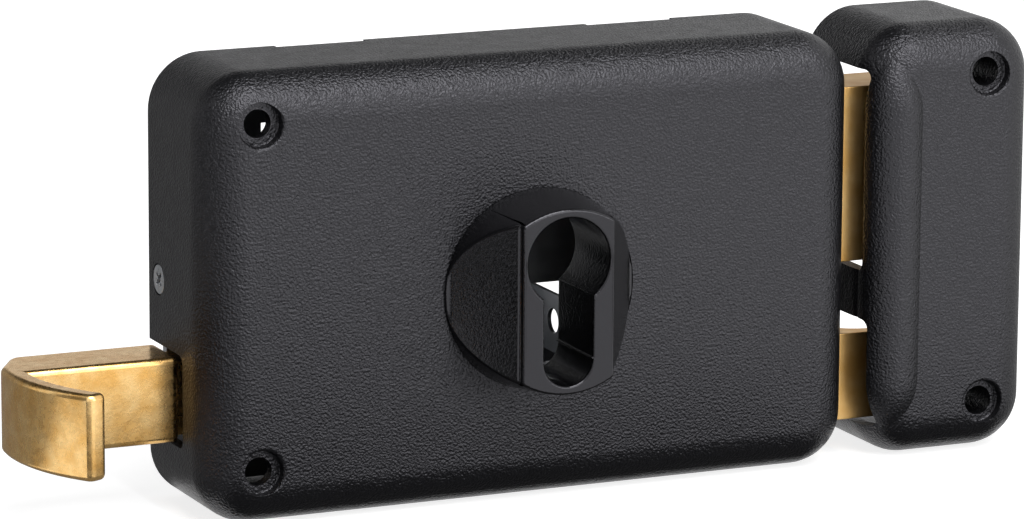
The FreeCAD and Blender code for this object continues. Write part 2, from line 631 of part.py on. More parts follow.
def build_side_screws():
    """Countersunk screws with a cross recess, driven through the cover's sides into the back plate."""
    pieces = []
    for number, (side, inward, height, forward) in enumerate(side_screw_places()):
        face = side + side_sunk * inward
        rim = face + side_rim * inward
        steps = [(face, side_head), (rim, side_head), (rim + side_cone * inward, side_shank)]
        steps += [(side + side_length * inward, side_shank)]
        body = turned("side_screw_%d" % number, "X", (-forward, height), steps)
        floor = face + cross_depth * inward
        for turn in (45, 135):
            sketch = new_sketch(body, "YZ_Plane", floor)
            sketch.AttachmentOffset = FreeCAD.Placement(Vector(), FreeCAD.Rotation(Vector(0, 0, 1), turn))
            for axis, size in zip("xyz", (-forward, height, floor)):
                bind(sketch, "AttachmentOffset.Base." + axis, size)
            rectangle(sketch, -cross_length / 2, cross_length / 2, -cross_width / 2, cross_width / 2)
            pocket(body, sketch, cross_depth + beyond, reversed_way=inward > 0)
        SUB_PARTS.remove(body)
        pieces.append(body)
    group = doc.addObject("Part::Compound", "side_screws_group")
    group.Links = pieces
    group.Label = "side_screws"
    SUB_PARTS.append(group)


def lug_places():
    """The plate's folded lugs: left side, stock, lower edge, height, reach, and the left side and
    length of the window that each is folded out of."""
    cam_low = -cam_lug_drop - cam_lug_height
    cam = (cam_lug, cam_lug_stock, cam_low, cam_lug_height, cam_lug_reach)
    stop = (-stop_lug, plate_stock, stop_lug_low, stop_lug_height, stop_lug_reach)
    spring_low = latch_middle - spring_lug_below
    spring = (spring_lug, plate_stock, spring_low, spring_lug_height, spring_lug_reach)
    return (
        cam + (cam_lug + cam_lug_stock, cam_lug_window),
        stop + (-stop_lug - stop_lug_window, stop_lug_window),
        spring + (spring_lug - spring_lug_window, spring_lug_window),
    )


def build_back_plate():
    """Steel plate behind the mechanism. Its lugs are folded forward out of its windows."""
    body = new_body("back_plate")
    edge = wall + side_play
    flange_reach = floor_depth - flange_inset
    sketch = new_sketch(body, "XZ_Plane")
    rectangle(sketch, left + edge, right - edge, bottom + edge, top - edge)
    pad(body, sketch, flange_reach)
    fillet(body, corner_radius - edge, lambda e: straight(e, 1))
    sketch = new_sketch(body, "XZ_Plane", flange_reach + beyond)
    rectangle(sketch, left, right - edge - plate_stock, bottom, top)
    pocket(body, sketch, flange_reach + beyond - plate_stock)
    cut = plate_stock + 2 * beyond
    front = plate_stock + beyond
    for _, _, low, height, _, start, length in lug_places():
        sketch = new_sketch(body, "XZ_Plane", front)
        rectangle(sketch, start, start + length, low, low + height)
        pocket(body, sketch, cut)
    sketch = new_sketch(body, "XZ_Plane", front)
    profile_outline(sketch, profile_margin)
    pocket(body, sketch, cut)
    lugs = [lug[:5] for lug in lug_places()]
    lugs.append((left + edge, plate_stock, -side_lug_low, side_lug_height, side_lug_reach))
    for start, stock, low, height, reach in lugs:
        sketch = new_sketch(body, "XZ_Plane", plate_stock - overlap)
        rectangle(sketch, start, start + stock, low, low + height)
        pad(body, sketch, reach - plate_stock + overlap)
    openings = [(bolt_bottom - side_play, bolt_top, bolt_rear), (bottom, latch_top, latch_rear)]
    for low, high, rear in openings:
        sketch = new_sketch(body, "YZ_Plane", right)
        rectangle(sketch, -(bolt_front + side_play), -(rear - side_play), low, high + side_play)
        pocket(body, sketch, edge + plate_stock + beyond)
    holes = [(cam_lug, cam_lug_stock, cam_hole_depth, -cam_hole_drop, cam_lug_hole)]
    holes += [(spring_lug, plate_stock, spring_depth, latch_middle, stem_diameter + rod_play)]
    for start, (_, _, height, forward) in zip((left + edge, right - edge - plate_stock), side_screw_places()):
        holes.append((start, plate_stock, forward, height, side_shank))
    for start, stock, forward, height, diameter in holes:
        sketch = new_sketch(body, "YZ_Plane", start + stock + beyond)
        circle(sketch, -forward, height, diameter)
        pocket(body, sketch, stock + 2 * beyond)
    holes = [(left + screw_inset, height, screw_hole + 2 * thin_play) for height in screw_heights]
    holes += [(x, z, stem_diameter) for x, z in (bolt_post, latch_post, lever_pivot)]
    holes += [(x, tumbler_rivet_height, tumbler_rivet) for x in tumbler_rivet_places()]
    for x, z, diameter in holes:
        hole(body, front, x, z, diameter, cut)
    return body


def build_cylinder_collar():
    """The coned collar round the cylinder: flats cut back from its narrow front, profile right through."""
    body = new_body("cylinder_collar")
    sketch = new_sketch(body, "XY_Plane", collar_middle)
    front = -(depth + collar_height)
    base = -depth
    points = [(0, front), (collar_front / 2, front), (collar_base / 2, base), (spigot_diameter / 2, base)]
    outline(sketch, points + [(spigot_diameter / 2, -floor_depth), (0, -floor_depth)])
    revolve(body, sketch, "V_Axis")
    foot = base - 0.6
    for side in (-1, 1):
        sketch = new_sketch(body, "XY_Plane", top)
        face = side * collar_face / 2
        clear = side * (collar_base / 2 + beyond)
        points = [(face, front - beyond), (face, front + collar_land), (side * (collar_base / 2 - 0.8), foot)]
        outline(sketch, points + [(clear, foot), (clear, front - beyond)])
        pocket(body, sketch, case_height)
    fillet(body, collar_rim, lambda e: lies(e, 1, front))
    sketch = new_sketch(body, "XZ_Plane", depth + collar_height + beyond)
    profile_outline(sketch, 0)
    pocket(body, sketch, collar_height + wall + 2 * beyond)
    inside = collar_face.value / 2 - collar_rim.value
    fillet(body, mouth_rim, lambda e: lies(e, 1, front) and abs(e.BoundBox.XMax) < inside + 0.2)
    for x in collar_screw_places():
        length = collar_screw_length + overlap
        hole(body, floor_depth + length, x, collar_middle, collar_screw_thread, length + beyond)
    return body


def collar_screw_places():
    return (-collar_screw_offset, collar_screw_offset)


def build_collar_clamp():
    """Steel ring inside the case. It lies on the case wall and pulls the collar against the front."""
    body = new_body("collar_clamp")
    sketch = new_sketch(body, "XZ_Plane", floor_depth - clamp_stock)
    circle(sketch, 0, collar_middle, spigot_diameter + clamp_edge)
    pad(body, sketch, clamp_stock)
    sketch = new_sketch(body, "XZ_Plane", floor_depth + beyond)
    profile_outline(sketch, clamp_margin)
    pocket(body, sketch, clamp_stock + 2 * beyond)
    for x in collar_screw_places():
        hole(body, floor_depth + beyond, x, collar_middle, collar_screw_neck, clamp_stock + 2 * beyond)
    return body


def build_collar_screws():
    """Two pan-head screws through the clamp ring into the collar."""
    seat = -(floor_depth - clamp_stock)
    brow = seat + collar_screw_rise - 0.4
    steps = [(seat + collar_screw_rise, collar_screw_head - 1.4), (brow, collar_screw_head)]
    steps += [(seat, collar_screw_head), (seat, collar_screw_neck), (-floor_depth, collar_screw_neck)]
    end = -(floor_depth + collar_screw_length)
    steps += [(-floor_depth, collar_screw_thread), (end, collar_screw_thread)]
    first, second = collar_screw_places()
    body = turned("collar_screw", "Y", (first, collar_middle), steps)
    return copies("collar_screws", body, [(0, 0, 0), (second - first, 0, 0)])


def build_dead_bolt():
    """Brass block with a slot in its inner end for the bolt plate and two rivet holes."""
    body = new_body("dead_bolt")
    sketch = new_sketch(body, "XZ_Plane", bolt_rear)
    rectangle(sketch, bolt_left, bolt_tip, bolt_bottom, bolt_top)
    pad(body, sketch, bolt_thickness)
    chamfer(body, tip_bevel, lambda e: lies(e, 0, bolt_tip))
    sketch = new_sketch(body, "XY_Plane", bolt_top + beyond)
    rectangle(sketch, bolt_left - beyond, bolt_left + joint_overlap, -tail_front, -tail_rear)
    pocket(body, sketch, bolt_height + 2 * beyond)
    for height in bolt_rivet_heights():
        x = bolt_left + joint_overlap / 2
        hole(body, bolt_front + beyond, x, height, rivet_diameter, bolt_thickness + 2 * beyond)
    return body


def bolt_rivet_heights():
    return (bolt_middle + bolt_height / 4, bolt_middle - bolt_height / 4)


def bolt_plate_cut(body, place, widths, levels):
    """A tapered throat or notch in the bolt plate: its widths at two levels, the closed end last."""
    (wide, narrow), (mouth, floor) = widths, levels
    sketch = new_sketch(body, "XZ_Plane", tail_front + beyond)
    points = [(place - wide / 2, mouth), (place + wide / 2, mouth), (place + narrow / 2, floor)]
    outline(sketch, points + [(place - narrow / 2, floor)])
    pocket(body, sketch, tail_stock + 2 * beyond)


def build_bolt_plate():
    """Steel tail of the dead bolt: two throats for the cylinder's cam, three notches for the tumbler."""
    body = new_body("bolt_plate")
    sketch = new_sketch(body, "XZ_Plane", tail_rear)
    end = bolt_left + joint_overlap
    low = bolt_bottom + shoulder_step
    high = bolt_top - shoulder_step
    points = [(plate_left, plate_low), (shoulder, plate_low), (shoulder, low), (end, low)]
    points += [(end, high), (shoulder, high), (shoulder, plate_top), (plate_left, plate_top)]
    outline(sketch, points)
    pad(body, sketch, tail_stock)
    for place in throat_places:
        levels = (plate_low - beyond, plate_low + throat_depth)
        bolt_plate_cut(body, place, (throat_mouth, throat_floor), levels)
    for place in notch_places:
        levels = (plate_top + beyond, plate_top - notch_depth)
        bolt_plate_cut(body, place, (notch_mouth, notch_floor), levels)
    sketch = new_sketch(body, "XZ_Plane", tail_front + beyond)
    x, z = bolt_post
    slot_outline(sketch, x, x + bolt_throw, z, post_diameter + 2 * post_play)
    pocket(body, sketch, tail_stock + 2 * beyond)
    for height in bolt_rivet_heights():
        plate_hole(body, bolt_left + joint_overlap / 2, height, rivet_diameter)
    fillet(body, plate_corner, lambda e: straight(e, 1) and beside(e.BoundBox.XMax, plate_left))
    return body


def build_bolt_rivets():
    low, high = sorted(bolt_rivet_heights(), key=lambda s: s.value)
    steps = [(-bolt_rear, rivet_diameter), (-bolt_front, rivet_diameter)]
    body = turned("bolt_rivet", "Y", (bolt_left + joint_overlap / 2, low), steps)
    return copies("bolt_rivets", body, [(0, 0, 0), (0, 0, high - low)])


def tumbler_rivet_places():
    return (foot_left + tumbler_rivet, foot_left + tumbler_foot_width - tumbler_rivet)


def build_tumbler():
    """Spring-steel tumbler: a foot on the back plate, a blade above the bolt plate, a nose that drops
    into its notches and a tail in front of it that the cam lifts."""
    body = new_body("tumbler")
    foot_right = foot_left + tumbler_foot_width
    sketch = new_sketch(body, "XZ_Plane", plate_stock)
    rectangle(sketch, foot_left, foot_right, foot_low, foot_top)
    pad(body, sketch, tumbler_foot_stock)
    sketch = new_sketch(body, "XZ_Plane", plate_stock)
    rectangle(sketch, foot_left, foot_right, foot_top - tumbler_strip, foot_top)
    pad(body, sketch, tail_front - plate_stock)
    nose = notch_places[0]
    low = plate_top + tumbler_play
    tip = plate_top - nose_depth
    landing = nose - nose_landing
    end = nose + nose_landing / 2
    sketch = new_sketch(body, "XZ_Plane", tail_rear - overlap)
    points = [(foot_right - beyond, foot_top - tumbler_strip), (landing, low), (nose - nose_root / 2, low)]
    points += [(nose - nose_tip / 2, tip), (nose + nose_tip / 2, tip), (nose + nose_root / 2, low)]
    points += [(end, low), (end, low + tumbler_strip), (landing, low + tumbler_strip)]
    outline(sketch, points + [(foot_right - beyond, foot_top)])
    pad(body, sketch, tail_stock + 2 * overlap + 2 * beyond)
    sketch = new_sketch(body, "XZ_Plane", tail_front + overlap)
    lower = plate_low + tab_low
    upper = low + overlap
    points = [(-tab_width / 2, lower), (tab_width / 2, lower), (tab_root / 2, upper), (-tab_root / 2, upper)]
    outline(sketch, points)
    pad(body, sketch, tumbler_foot_stock)
    for x in tumbler_rivet_places():
        start = plate_stock + tumbler_foot_stock + beyond
        hole(body, start, x, tumbler_rivet_height, tumbler_rivet, tumbler_foot_stock + 2 * beyond)
    return body


def build_tumbler_rivets():
    first, second = tumbler_rivet_places()
    seat = plate_stock + tumbler_foot_stock
    head = tumbler_rivet_head
    steps = [(0, tumbler_rivet), (-seat, tumbler_rivet), (-seat, head), (-(seat + 0.8), head - 0.8)]
    steps += [(-(seat + tumbler_rivet_rise), head / 2)]
    body = turned("tumbler_rivet", "Y", (first, tumbler_rivet_height), steps)
    return copies("tumbler_rivets", body, [(0, 0, 0), (second - first, 0, 0)])


def build_latch_bolt():
    """Brass latch: a thin tongue in front, hollowed ramp behind it, full block inside the case."""
    body = new_body("latch_bolt")
    sketch = new_sketch(body, "XY_Plane", latch_bottom)
    ramp_foot = right + ramp_gap
    ramp_end = ramp_foot + latch_thickness - latch_tongue
    tongue_rear = -(bolt_front - latch_tongue)
    points = [(latch_left, -bolt_front), (latch_tip, -bolt_front), (latch_tip, tongue_rear - tongue_taper)]
    points += [(ramp_end, tongue_rear), (ramp_foot, -latch_rear), (latch_left, -latch_rear)]
    outline(sketch, points, {3: (ramp_end, -latch_rear, "x", True)})
    pad(body, sketch, latch_height)
    sketch = new_sketch(body, "XY_Plane", latch_top + beyond)
    rectangle(sketch, latch_left - beyond, latch_left + joint_overlap, -tail_front, -tail_rear)
    pocket(body, sketch, latch_height + 2 * beyond)
    for height in latch_rivet_heights():
        x = latch_left + joint_overlap / 2
        hole(body, bolt_front + beyond, x, height, rivet_diameter, latch_thickness + 2 * beyond)
    return body


def latch_rivet_heights():
    return (latch_middle + latch_height / 4, latch_middle - latch_height / 4)


def build_latch_slide():
    """Steel slide that joins pull and latch: a guide slot, a folded ear for the spring, rivet holes."""
    body = new_body("latch_slide")
    sketch = new_sketch(body, "XZ_Plane", tail_rear)
    end = latch_left + joint_overlap
    narrow = slide_left + slide_narrow
    points = [(slide_left, pull_bottom), (narrow, pull_bottom), (narrow, slide_low), (end, slide_low)]
    outline(sketch, points + [(end, slide_top), (slide_left, slide_top)])
    pad(body, sketch, tail_stock)
    sketch = new_sketch(body, "XZ_Plane", ear_depth)
    ear_low = latch_middle - ear_height / 2
    rectangle(sketch, ear_place, ear_place + plate_stock, ear_low, ear_low + ear_height)
    pad(body, sketch, tail_rear - ear_depth)
    sketch = new_sketch(body, "XZ_Plane", tail_front + beyond)
    x, z = latch_post
    slot_outline(sketch, x, x + latch_travel, z, post_diameter + 2 * post_play)
    pocket(body, sketch, tail_stock + 2 * beyond)
    rivets = [(latch_left + joint_overlap / 2, height) for height in latch_rivet_heights()]
    for x, z in rivets + pull_rivet_places():
        plate_hole(body, x, z, rivet_diameter)
    plate_hole(body, stud_place, stud_height, stem_diameter)
    sketch = new_sketch(body, "YZ_Plane", ear_place + plate_stock + beyond)
    circle(sketch, -spring_depth, latch_middle, stem_diameter)
    pocket(body, sketch, plate_stock + 2 * beyond)
    fillet(body, plate_corner, lambda e: straight(e, 1) and beside(e.BoundBox.XMax, slide_left))
    return body


def pull_rivet_places():
    first = slide_left + pull_rivet_inset
    height = pull_bottom + pull_rivet_lift
    return [(first, height), (first + pull_rivet_pitch, height)]


def build_latch_rivets():
    low, high = sorted(latch_rivet_heights(), key=lambda s: s.value)
    steps = [(-latch_rear, rivet_diameter), (-bolt_front, rivet_diameter)]
    body = turned("latch_rivet", "Y", (latch_left + joint_overlap / 2, low), steps)
    return copies("latch_rivets", body, [(0, 0, 0), (0, 0, high - low)])


def hook_x(centre, radius, rise):
    """Where a circle of the hook lies to the left of its centre, a rise in front of or behind it."""
    return centre - (radius * radius - rise * rise).root()


def build_pull_handle():
    """Brass pull: a bar through the case's side, bent forward into a curved hook for the finger."""
    body = new_body("pull_handle")
    sketch = new_sketch(body, "XY_Plane", pull_bottom)
    centre_x = left + hook_centre
    centre_y = -pull_front
    inner = hook_radius - hook_stock
    tip = -hook_reach
    inner_tip = tip + hook_bevel
    heel_x = hook_x(centre_x, hook_radius, pull_front - heel_depth)
    tongue_end = slide_left + pull_tongue
    step = slide_left - tumbler_play
    outside = left - bolt_clear
    rear = -pull_rear
    points = [(centre_x - inner, centre_y), (step, centre_y), (step, -tail_rear), (tongue_end, -tail_rear)]
    points += [(tongue_end, -pull_tongue_rear), (outside, -pull_tongue_rear), (outside, rear)]
    points += [(heel_x + heel_width, rear), (heel_x, -heel_depth)]
    points += [(hook_x(centre_x, hook_radius, tip - centre_y), tip)]
    points += [(hook_x(centre_x, inner, inner_tip - centre_y), inner_tip)]
    arcs = {8: (centre_x, centre_y, "x", False), 10: (centre_x, centre_y, "x", True)}
    outline(sketch, points, arcs)
    pad(body, sketch, pull_height)
    sketch = new_sketch(body, "XZ_Plane", pull_front + beyond)
    rectangle(sketch, left + beyond, tongue_end + beyond, slide_top - beyond, pull_top + beyond)
    pocket(body, sketch, pull_front)
    for x, z in pull_rivet_places():
        hole(body, pull_front + beyond, x, z, rivet_diameter, pull_front)
    heel = heel_x + heel_width
    fillet(body, heel_edge, lambda e: straight(e, 2) and beside(e.BoundBox.XMin, heel))
    front = -(hook_reach - 2 * beyond).value
    fillet(body, hook_tip_edge, lambda e: straight(e, 2) and e.BoundBox.YMax < front)
    end = outside.value - 0.1
    for level in (pull_top, pull_bottom):
        fillet(body, hook_edge, lambda e: lies(e, 2, level) and e.BoundBox.XMax < end)
    return body


def build_pull_rivets():
    (first, height), (second, _) = pull_rivet_places()
    crown = tail_front + pull_rivet_rise
    steps = [(-pull_tongue_rear, rivet_diameter), (-tail_front, rivet_diameter)]
    steps += [(-tail_front, pull_rivet_head), (-(crown - 0.4), pull_rivet_head - 1)]
    steps.append((-crown, pull_rivet_head / 2))
    body = turned("pull_rivet", "Y", (first, height), steps)
    return copies("pull_rivets", body, [(0, 0, 0), (second - first, 0, 0)])


def build_posts():
    """Shouldered posts riveted to the back plate, and the heads that keep the plates on them."""
    seat = -(tail_rear - thin_play)
    front = -(tail_front + thin_play)
    for label, place in (("bolt_guide_post", bolt_post), ("latch_guide_post", latch_post)):
        steps = [(0, stem_diameter), (-plate_stock, stem_diameter), (-plate_stock, post_head)]
        steps += [(seat, post_head), (seat, post_diameter), (front, post_diameter), (front, post_head)]
        turned(label, "Y", place, steps + [(front - pull_front / 10, post_head)])
    seat = thin_play - lever_rear
    front = -lever_front - thin_play
    steps = [(0, stem_diameter), (-plate_stock, stem_diameter), (-plate_stock, lever_shoulder)]
    steps += [(seat, lever_shoulder), (seat, post_diameter), (front, post_diameter), (front, lever_head)]
    turned("lever_pivot", "Y", lever_pivot, steps + [(-lever_front - beyond, lever_head)])


def build_latch_lever():
    """Steel lever on its pivot: the cam pushes its upper arm down, its slotted lower arm draws the slide."""
    body = new_body("latch_lever")
    px, pz = lever_pivot
    reach = (lever_arm * lever_arm + (latch_travel / 2) * (latch_travel / 2)).root()
    sketch = new_sketch(body, "XZ_Plane", lever_rear)
    upper = [(4.5, 4), (16.4, 9), (16.8, 13), (13.5, 14.2), (-2, 7), (-6, 2), (-2.5, -8)]
    lower = [(-3.9, -1.5), (-1.2, -4.5), (3.7, -2.9), (3.9, 1)]
    points = [(px + x, pz + z) for x, z in upper] + [(stud_place + x, stud_height + z) for x, z in lower]
    outline(sketch, points + [(px + 6, pz - 4)])
    pad(body, sketch, lever_stock)
    hole(body, lever_front + beyond, px, pz, post_diameter + spigot_play / 2, lever_stock + 2 * beyond)
    turn = math.degrees(math.atan2((stud_place - px).value, lever_arm.value))
    sketch = new_sketch(body, "XZ_Plane", lever_front + beyond)
    sketch.AttachmentOffset = FreeCAD.Placement(Vector(), FreeCAD.Rotation(Vector(0, 0, 1), turn - 90))
    for axis, size in zip("xyz", (px, pz, lever_front + beyond)):
        bind(sketch, "AttachmentOffset.Base." + axis, size)
    slot_outline(sketch, lever_arm - 0.4, reach + 0.3, 0, stem_diameter + 2 * stud_play)
    pocket(body, sketch, lever_stock + 2 * beyond)
    bend = (px + 5).value
    fillet(body, lever_corner, lambda e: straight(e, 1) and e.BoundBox.XMin > bend)
    return body


def build_slide_stud():
    steps = [(-tail_front, stem_diameter), (-(lever_rear - beyond), stem_diameter)]
    return turned("slide_stud", "Y", (stud_place, stud_height), steps)


def build_spring_rod():
    """Rod that guides the latch spring. It is riveted in the slide's ear and runs through the lug."""
    end = ear_place + plate_stock
    steps = [(rod_start, stem_diameter - 0.8), (rod_start + 0.8, stem_diameter), (end, stem_diameter)]
    steps += [(end, rod_head), (end + beyond, rod_head - 1)]
    return turned("spring_rod", "X", (-spring_depth, latch_middle), steps)


def build_latch_spring():
    """Compression spring between the lug of the back plate and the ear of the slide."""
    wire = spring_wire.value
    radius = spring_radius.value
    seat = (spring_lug + plate_stock).value
    length = ear_place.value - seat - wire
    pitch = length / spring_turns.value
    helix = Part.makeHelix(pitch, length, radius)
    section = Part.Wire(Part.Circle(Vector(radius, 0, 0), Vector(0, 1, 0), wire / 2).toShape())
    spring = doc.addObject("Part::Feature", "latch_spring")
    spring.Shape = Part.Wire(helix.Edges).makePipeShell([section], True, True)
    start = Vector(seat + wire / 2, -spring_depth.value, latch_middle.value)
    spring.Placement = FreeCAD.Placement(start, FreeCAD.Rotation(Vector(0, 1, 0), 90))
    SUB_PARTS.append(spring)
    print("latch_spring least gap %.2f mm" % (pitch - wire))


def build_strike_box():
    """The strike: a rounded box open at the rear, a bead along its left edge, two notches for the bolts."""
    body = new_body("strike_box")
    sketch = new_sketch(body, "XZ_Plane")
    rectangle(sketch, strike_left, strike_right, bottom, top)
    pad(body, sketch, strike_face)
    fillet(body, corner_radius, lambda e: straight(e, 1))
    fillet(body, edge_radius, lambda e: lies(e, 1, -strike_face))
    hollow(body)
    bead_y = strike_bead - strike_face - bead_rise
    for radius, inside_cut in ((strike_bead, False), (strike_bead - wall, True)):
        sketch = new_sketch(body, "YZ_Plane", strike_left + strike_bead)
        bind(sketch, "AttachmentOffset.Base.x", bead_y)
        spindle_outline(sketch, radius, bottom + bead_end, top - bead_end)
        revolve(body, sketch, "V_Axis", groove=inside_cut)
    clear_behind_bead(body, -bead_y)
    column = strike_right - strike_hole_inset
    for height in strike_screw_heights:
        sketch = new_sketch(body, "XZ_Plane", 0)
        circle(sketch, column, height, screw_boss)
        pad(body, sketch, strike_face - wall + 0.9)
        counterbore(body, column, height, strike_face, strike_hole, strike_face + beyond)
    reach = wall + 3 * beyond
    notches = [(bolt_bottom - strike_notch_below, bolt_top + strike_notch_above, strike_notch_depth)]
    notches += [(latch_bottom - latch_notch_below, latch_top + latch_notch_above, latch_notch_depth)]
    for low, high, forward in notches:
        rear_slot(body, strike_left + reach, low, high, forward, reach + 2 * beyond)
    return body


def clear_behind_bead(body, forward):
    """Cut away the rear half of the bead, which would stand inside the box, behind a distance."""
    sketch = new_sketch(body, "XZ_Plane", forward)
    bend = strike_left + corner_radius
    inside = bend + 3 * beyond
    side = strike_left + wall
    points = [(bend, top - wall), (side, top - corner_radius), (side, bottom + corner_radius)]
    points += [(bend, bottom + wall), (inside, bottom + wall), (inside, top - wall)]
    arcs = {0: (bend, top - corner_radius, "x", False), 2: (bend, bottom + corner_radius, "x", False)}
    outline(sketch, points, arcs)
    pocket(body, sketch, strike_face)


def spindle_outline(sketch, radius, low, high):
    """Half of a round bar that is straight from low to high and tapers in two steps to its tips."""
    taper = ((0, 0), (bead_bow * 0.42, bead_thinner * 0.25), (bead_bow, bead_thinner))
    lower = [(radius - thinner, low - along) for along, thinner in reversed(taper)]
    upper = [(radius - thinner, high + along) for along, thinner in taper]
    outline(sketch, [(0, low - bead_bow)] + lower + upper + [(0, high + bead_bow)])


def check_and_write():
    """Every object must be sound before any file is written."""
    doc.recompute()
    bad = [o.Name for o in doc.Objects if {"Invalid", "Error"} & set(o.State)]
    bad += [p.Label for p in SUB_PARTS if p.Shape.isNull() or not p.Shape.isValid()]
    if bad:
        raise SystemExit("failed: " + ", ".join(bad))
    os.makedirs("parts", exist_ok=True)
    for part in SUB_PARTS:
        part.Shape.exportStep(os.path.join("parts", part.Label + ".step"))
        print("%-18s %8.1f mm3, %d solids" % (part.Label, part.Shape.Volume, len(part.Shape.Solids)))


BUILDERS = (
    build_case_cover,
    build_back_plate,
    build_side_screws,
    build_cylinder_collar,
    build_collar_clamp,
    build_collar_screws,
    build_dead_bolt,
    build_bolt_plate,
    build_bolt_rivets,
    build_tumbler,
    build_tumbler_rivets,
    build_latch_bolt,
    build_latch_slide,
    build_latch_rivets,
    build_pull_handle,
    build_pull_rivets,
    build_posts,
    build_latch_lever,
    build_slide_stud,
    build_spring_rod,
    build_latch_spring,
    build_strike_box,
)
for build in BUILDERS:
    build()
check_and_write()
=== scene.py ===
import logging
import math
from dataclasses import dataclass
from enum import Enum
from typing import Callable, Optional, Sequence

import bpy
from mathutils import Matrix, Vector

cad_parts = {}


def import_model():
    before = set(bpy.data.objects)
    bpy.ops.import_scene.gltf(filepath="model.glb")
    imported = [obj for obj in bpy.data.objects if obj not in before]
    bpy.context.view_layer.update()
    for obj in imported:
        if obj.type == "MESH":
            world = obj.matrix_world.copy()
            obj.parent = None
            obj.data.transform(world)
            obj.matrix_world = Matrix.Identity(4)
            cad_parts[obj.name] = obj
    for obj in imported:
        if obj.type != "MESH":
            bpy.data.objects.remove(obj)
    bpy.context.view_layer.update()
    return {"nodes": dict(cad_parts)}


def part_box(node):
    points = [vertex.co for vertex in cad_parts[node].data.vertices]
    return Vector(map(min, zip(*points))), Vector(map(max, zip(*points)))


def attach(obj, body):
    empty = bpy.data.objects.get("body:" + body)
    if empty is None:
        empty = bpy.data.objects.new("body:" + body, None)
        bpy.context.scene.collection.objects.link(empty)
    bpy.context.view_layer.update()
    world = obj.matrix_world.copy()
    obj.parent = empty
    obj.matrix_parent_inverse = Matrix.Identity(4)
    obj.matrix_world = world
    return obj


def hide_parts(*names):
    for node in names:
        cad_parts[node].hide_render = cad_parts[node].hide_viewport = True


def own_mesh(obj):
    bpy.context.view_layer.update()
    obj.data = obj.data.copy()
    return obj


# The rim lock: a coated case with a cylinder collar, its brass pull and bolts, and the strike box.
# X runs towards the bolts, the front faces -Y and Z is up. Sizes are in millimetres until a mesh
# is made.

LOG = logging.getLogger("rim_lock")
MM = 0.001
# How far a cutter reaches past the face that it cuts, in millimetres.
PAST = 1.0
# How close two places are that count as the same, in millimetres.
NEAR = 0.01

Point = Sequence[float]
EdgeTest = Callable[[Vector, Vector], bool]


class Way(Enum):
    """An axis of the row."""

    X = 0
    Y = 1
    Z = 2

    def along(self, distance: float) -> Vector:
        """Return a vector of that length along the axis."""
        return Vector([distance if i == self.value else 0.0 for i in range(3)])


class Join(Enum):
    """What a boolean does with its second body."""

    ADD = "UNION"
    CUT = "DIFFERENCE"


@dataclass(frozen=True)
class Span:
    """A box in the row frame, in millimetres."""

    low: Vector
    high: Vector

    @classmethod
    def of(cls, node: str) -> "Span":
        """Read the box of a CAD node at rest.

        Args:
            node: The CAD node's name.

        Returns:
            Its box in millimetres.
        """
        low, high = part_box(node)
        return cls(Vector(low) / MM, Vector(high) / MM)


# Modelling by hand: each helper is one thing that is done to a mesh.


def deselect() -> None:
    """Leave edit mode and select nothing."""
    if bpy.context.object and bpy.context.object.mode != "OBJECT":
        bpy.ops.object.mode_set(mode="OBJECT")
    bpy.ops.object.select_all(action="DESELECT")


def take(piece: bpy.types.Object) -> None:
    """Make a piece the only selected and active one.

    Args:
        piece: The piece.
    """
    deselect()
    piece.select_set(True)
    bpy.context.view_layer.objects.active = piece


def edit_all(piece: bpy.types.Object) -> None:
    """Go into edit mode with all of a piece selected.

    Args:
        piece: The piece.
    """
    take(piece)
    bpy.ops.object.mode_set(mode="EDIT")
    bpy.ops.mesh.select_all(action="SELECT")


def point_outwards(piece: bpy.types.Object) -> None:
    """Turn all faces of a closed piece outwards.

    Args:
        piece: The piece.
    """
    edit_all(piece)
    bpy.ops.mesh.normals_make_consistent(inside=False)
    bpy.ops.object.mode_set(mode="OBJECT")


def new_modifier(piece: bpy.types.Object, kind: str) -> bpy.types.Modifier:
    """Add a modifier to a piece.

    Args:
        piece: The piece, which becomes the active one.
        kind: The modifier's type.

    Returns:
        The modifier.
    """
    take(piece)
    bpy.ops.object.modifier_add(type=kind)
    return piece.modifiers[-1]


def settle(piece: bpy.types.Object) -> None:
    """Apply a piece's place, turn and size to its mesh."""
    take(piece)
    bpy.ops.object.transform_apply(location=True, rotation=True, scale=True)


def block(name: str, low: Point, high: Point) -> bpy.types.Object:
    """Add a cuboid.

    Args:
        name: The piece's name.
        low: Lowest corner in millimetres.
        high: Highest corner in millimetres.

    Returns:
        The cuboid, its place applied.
    """
    deselect()
    start, end = Vector(low), Vector(high)
    middle = (start + end) / 2
    bpy.ops.mesh.primitive_cube_add(size=1, location=middle * MM, scale=(end - start) * MM)
    piece = bpy.context.object
    piece.name = name
    settle(piece)
    return piece


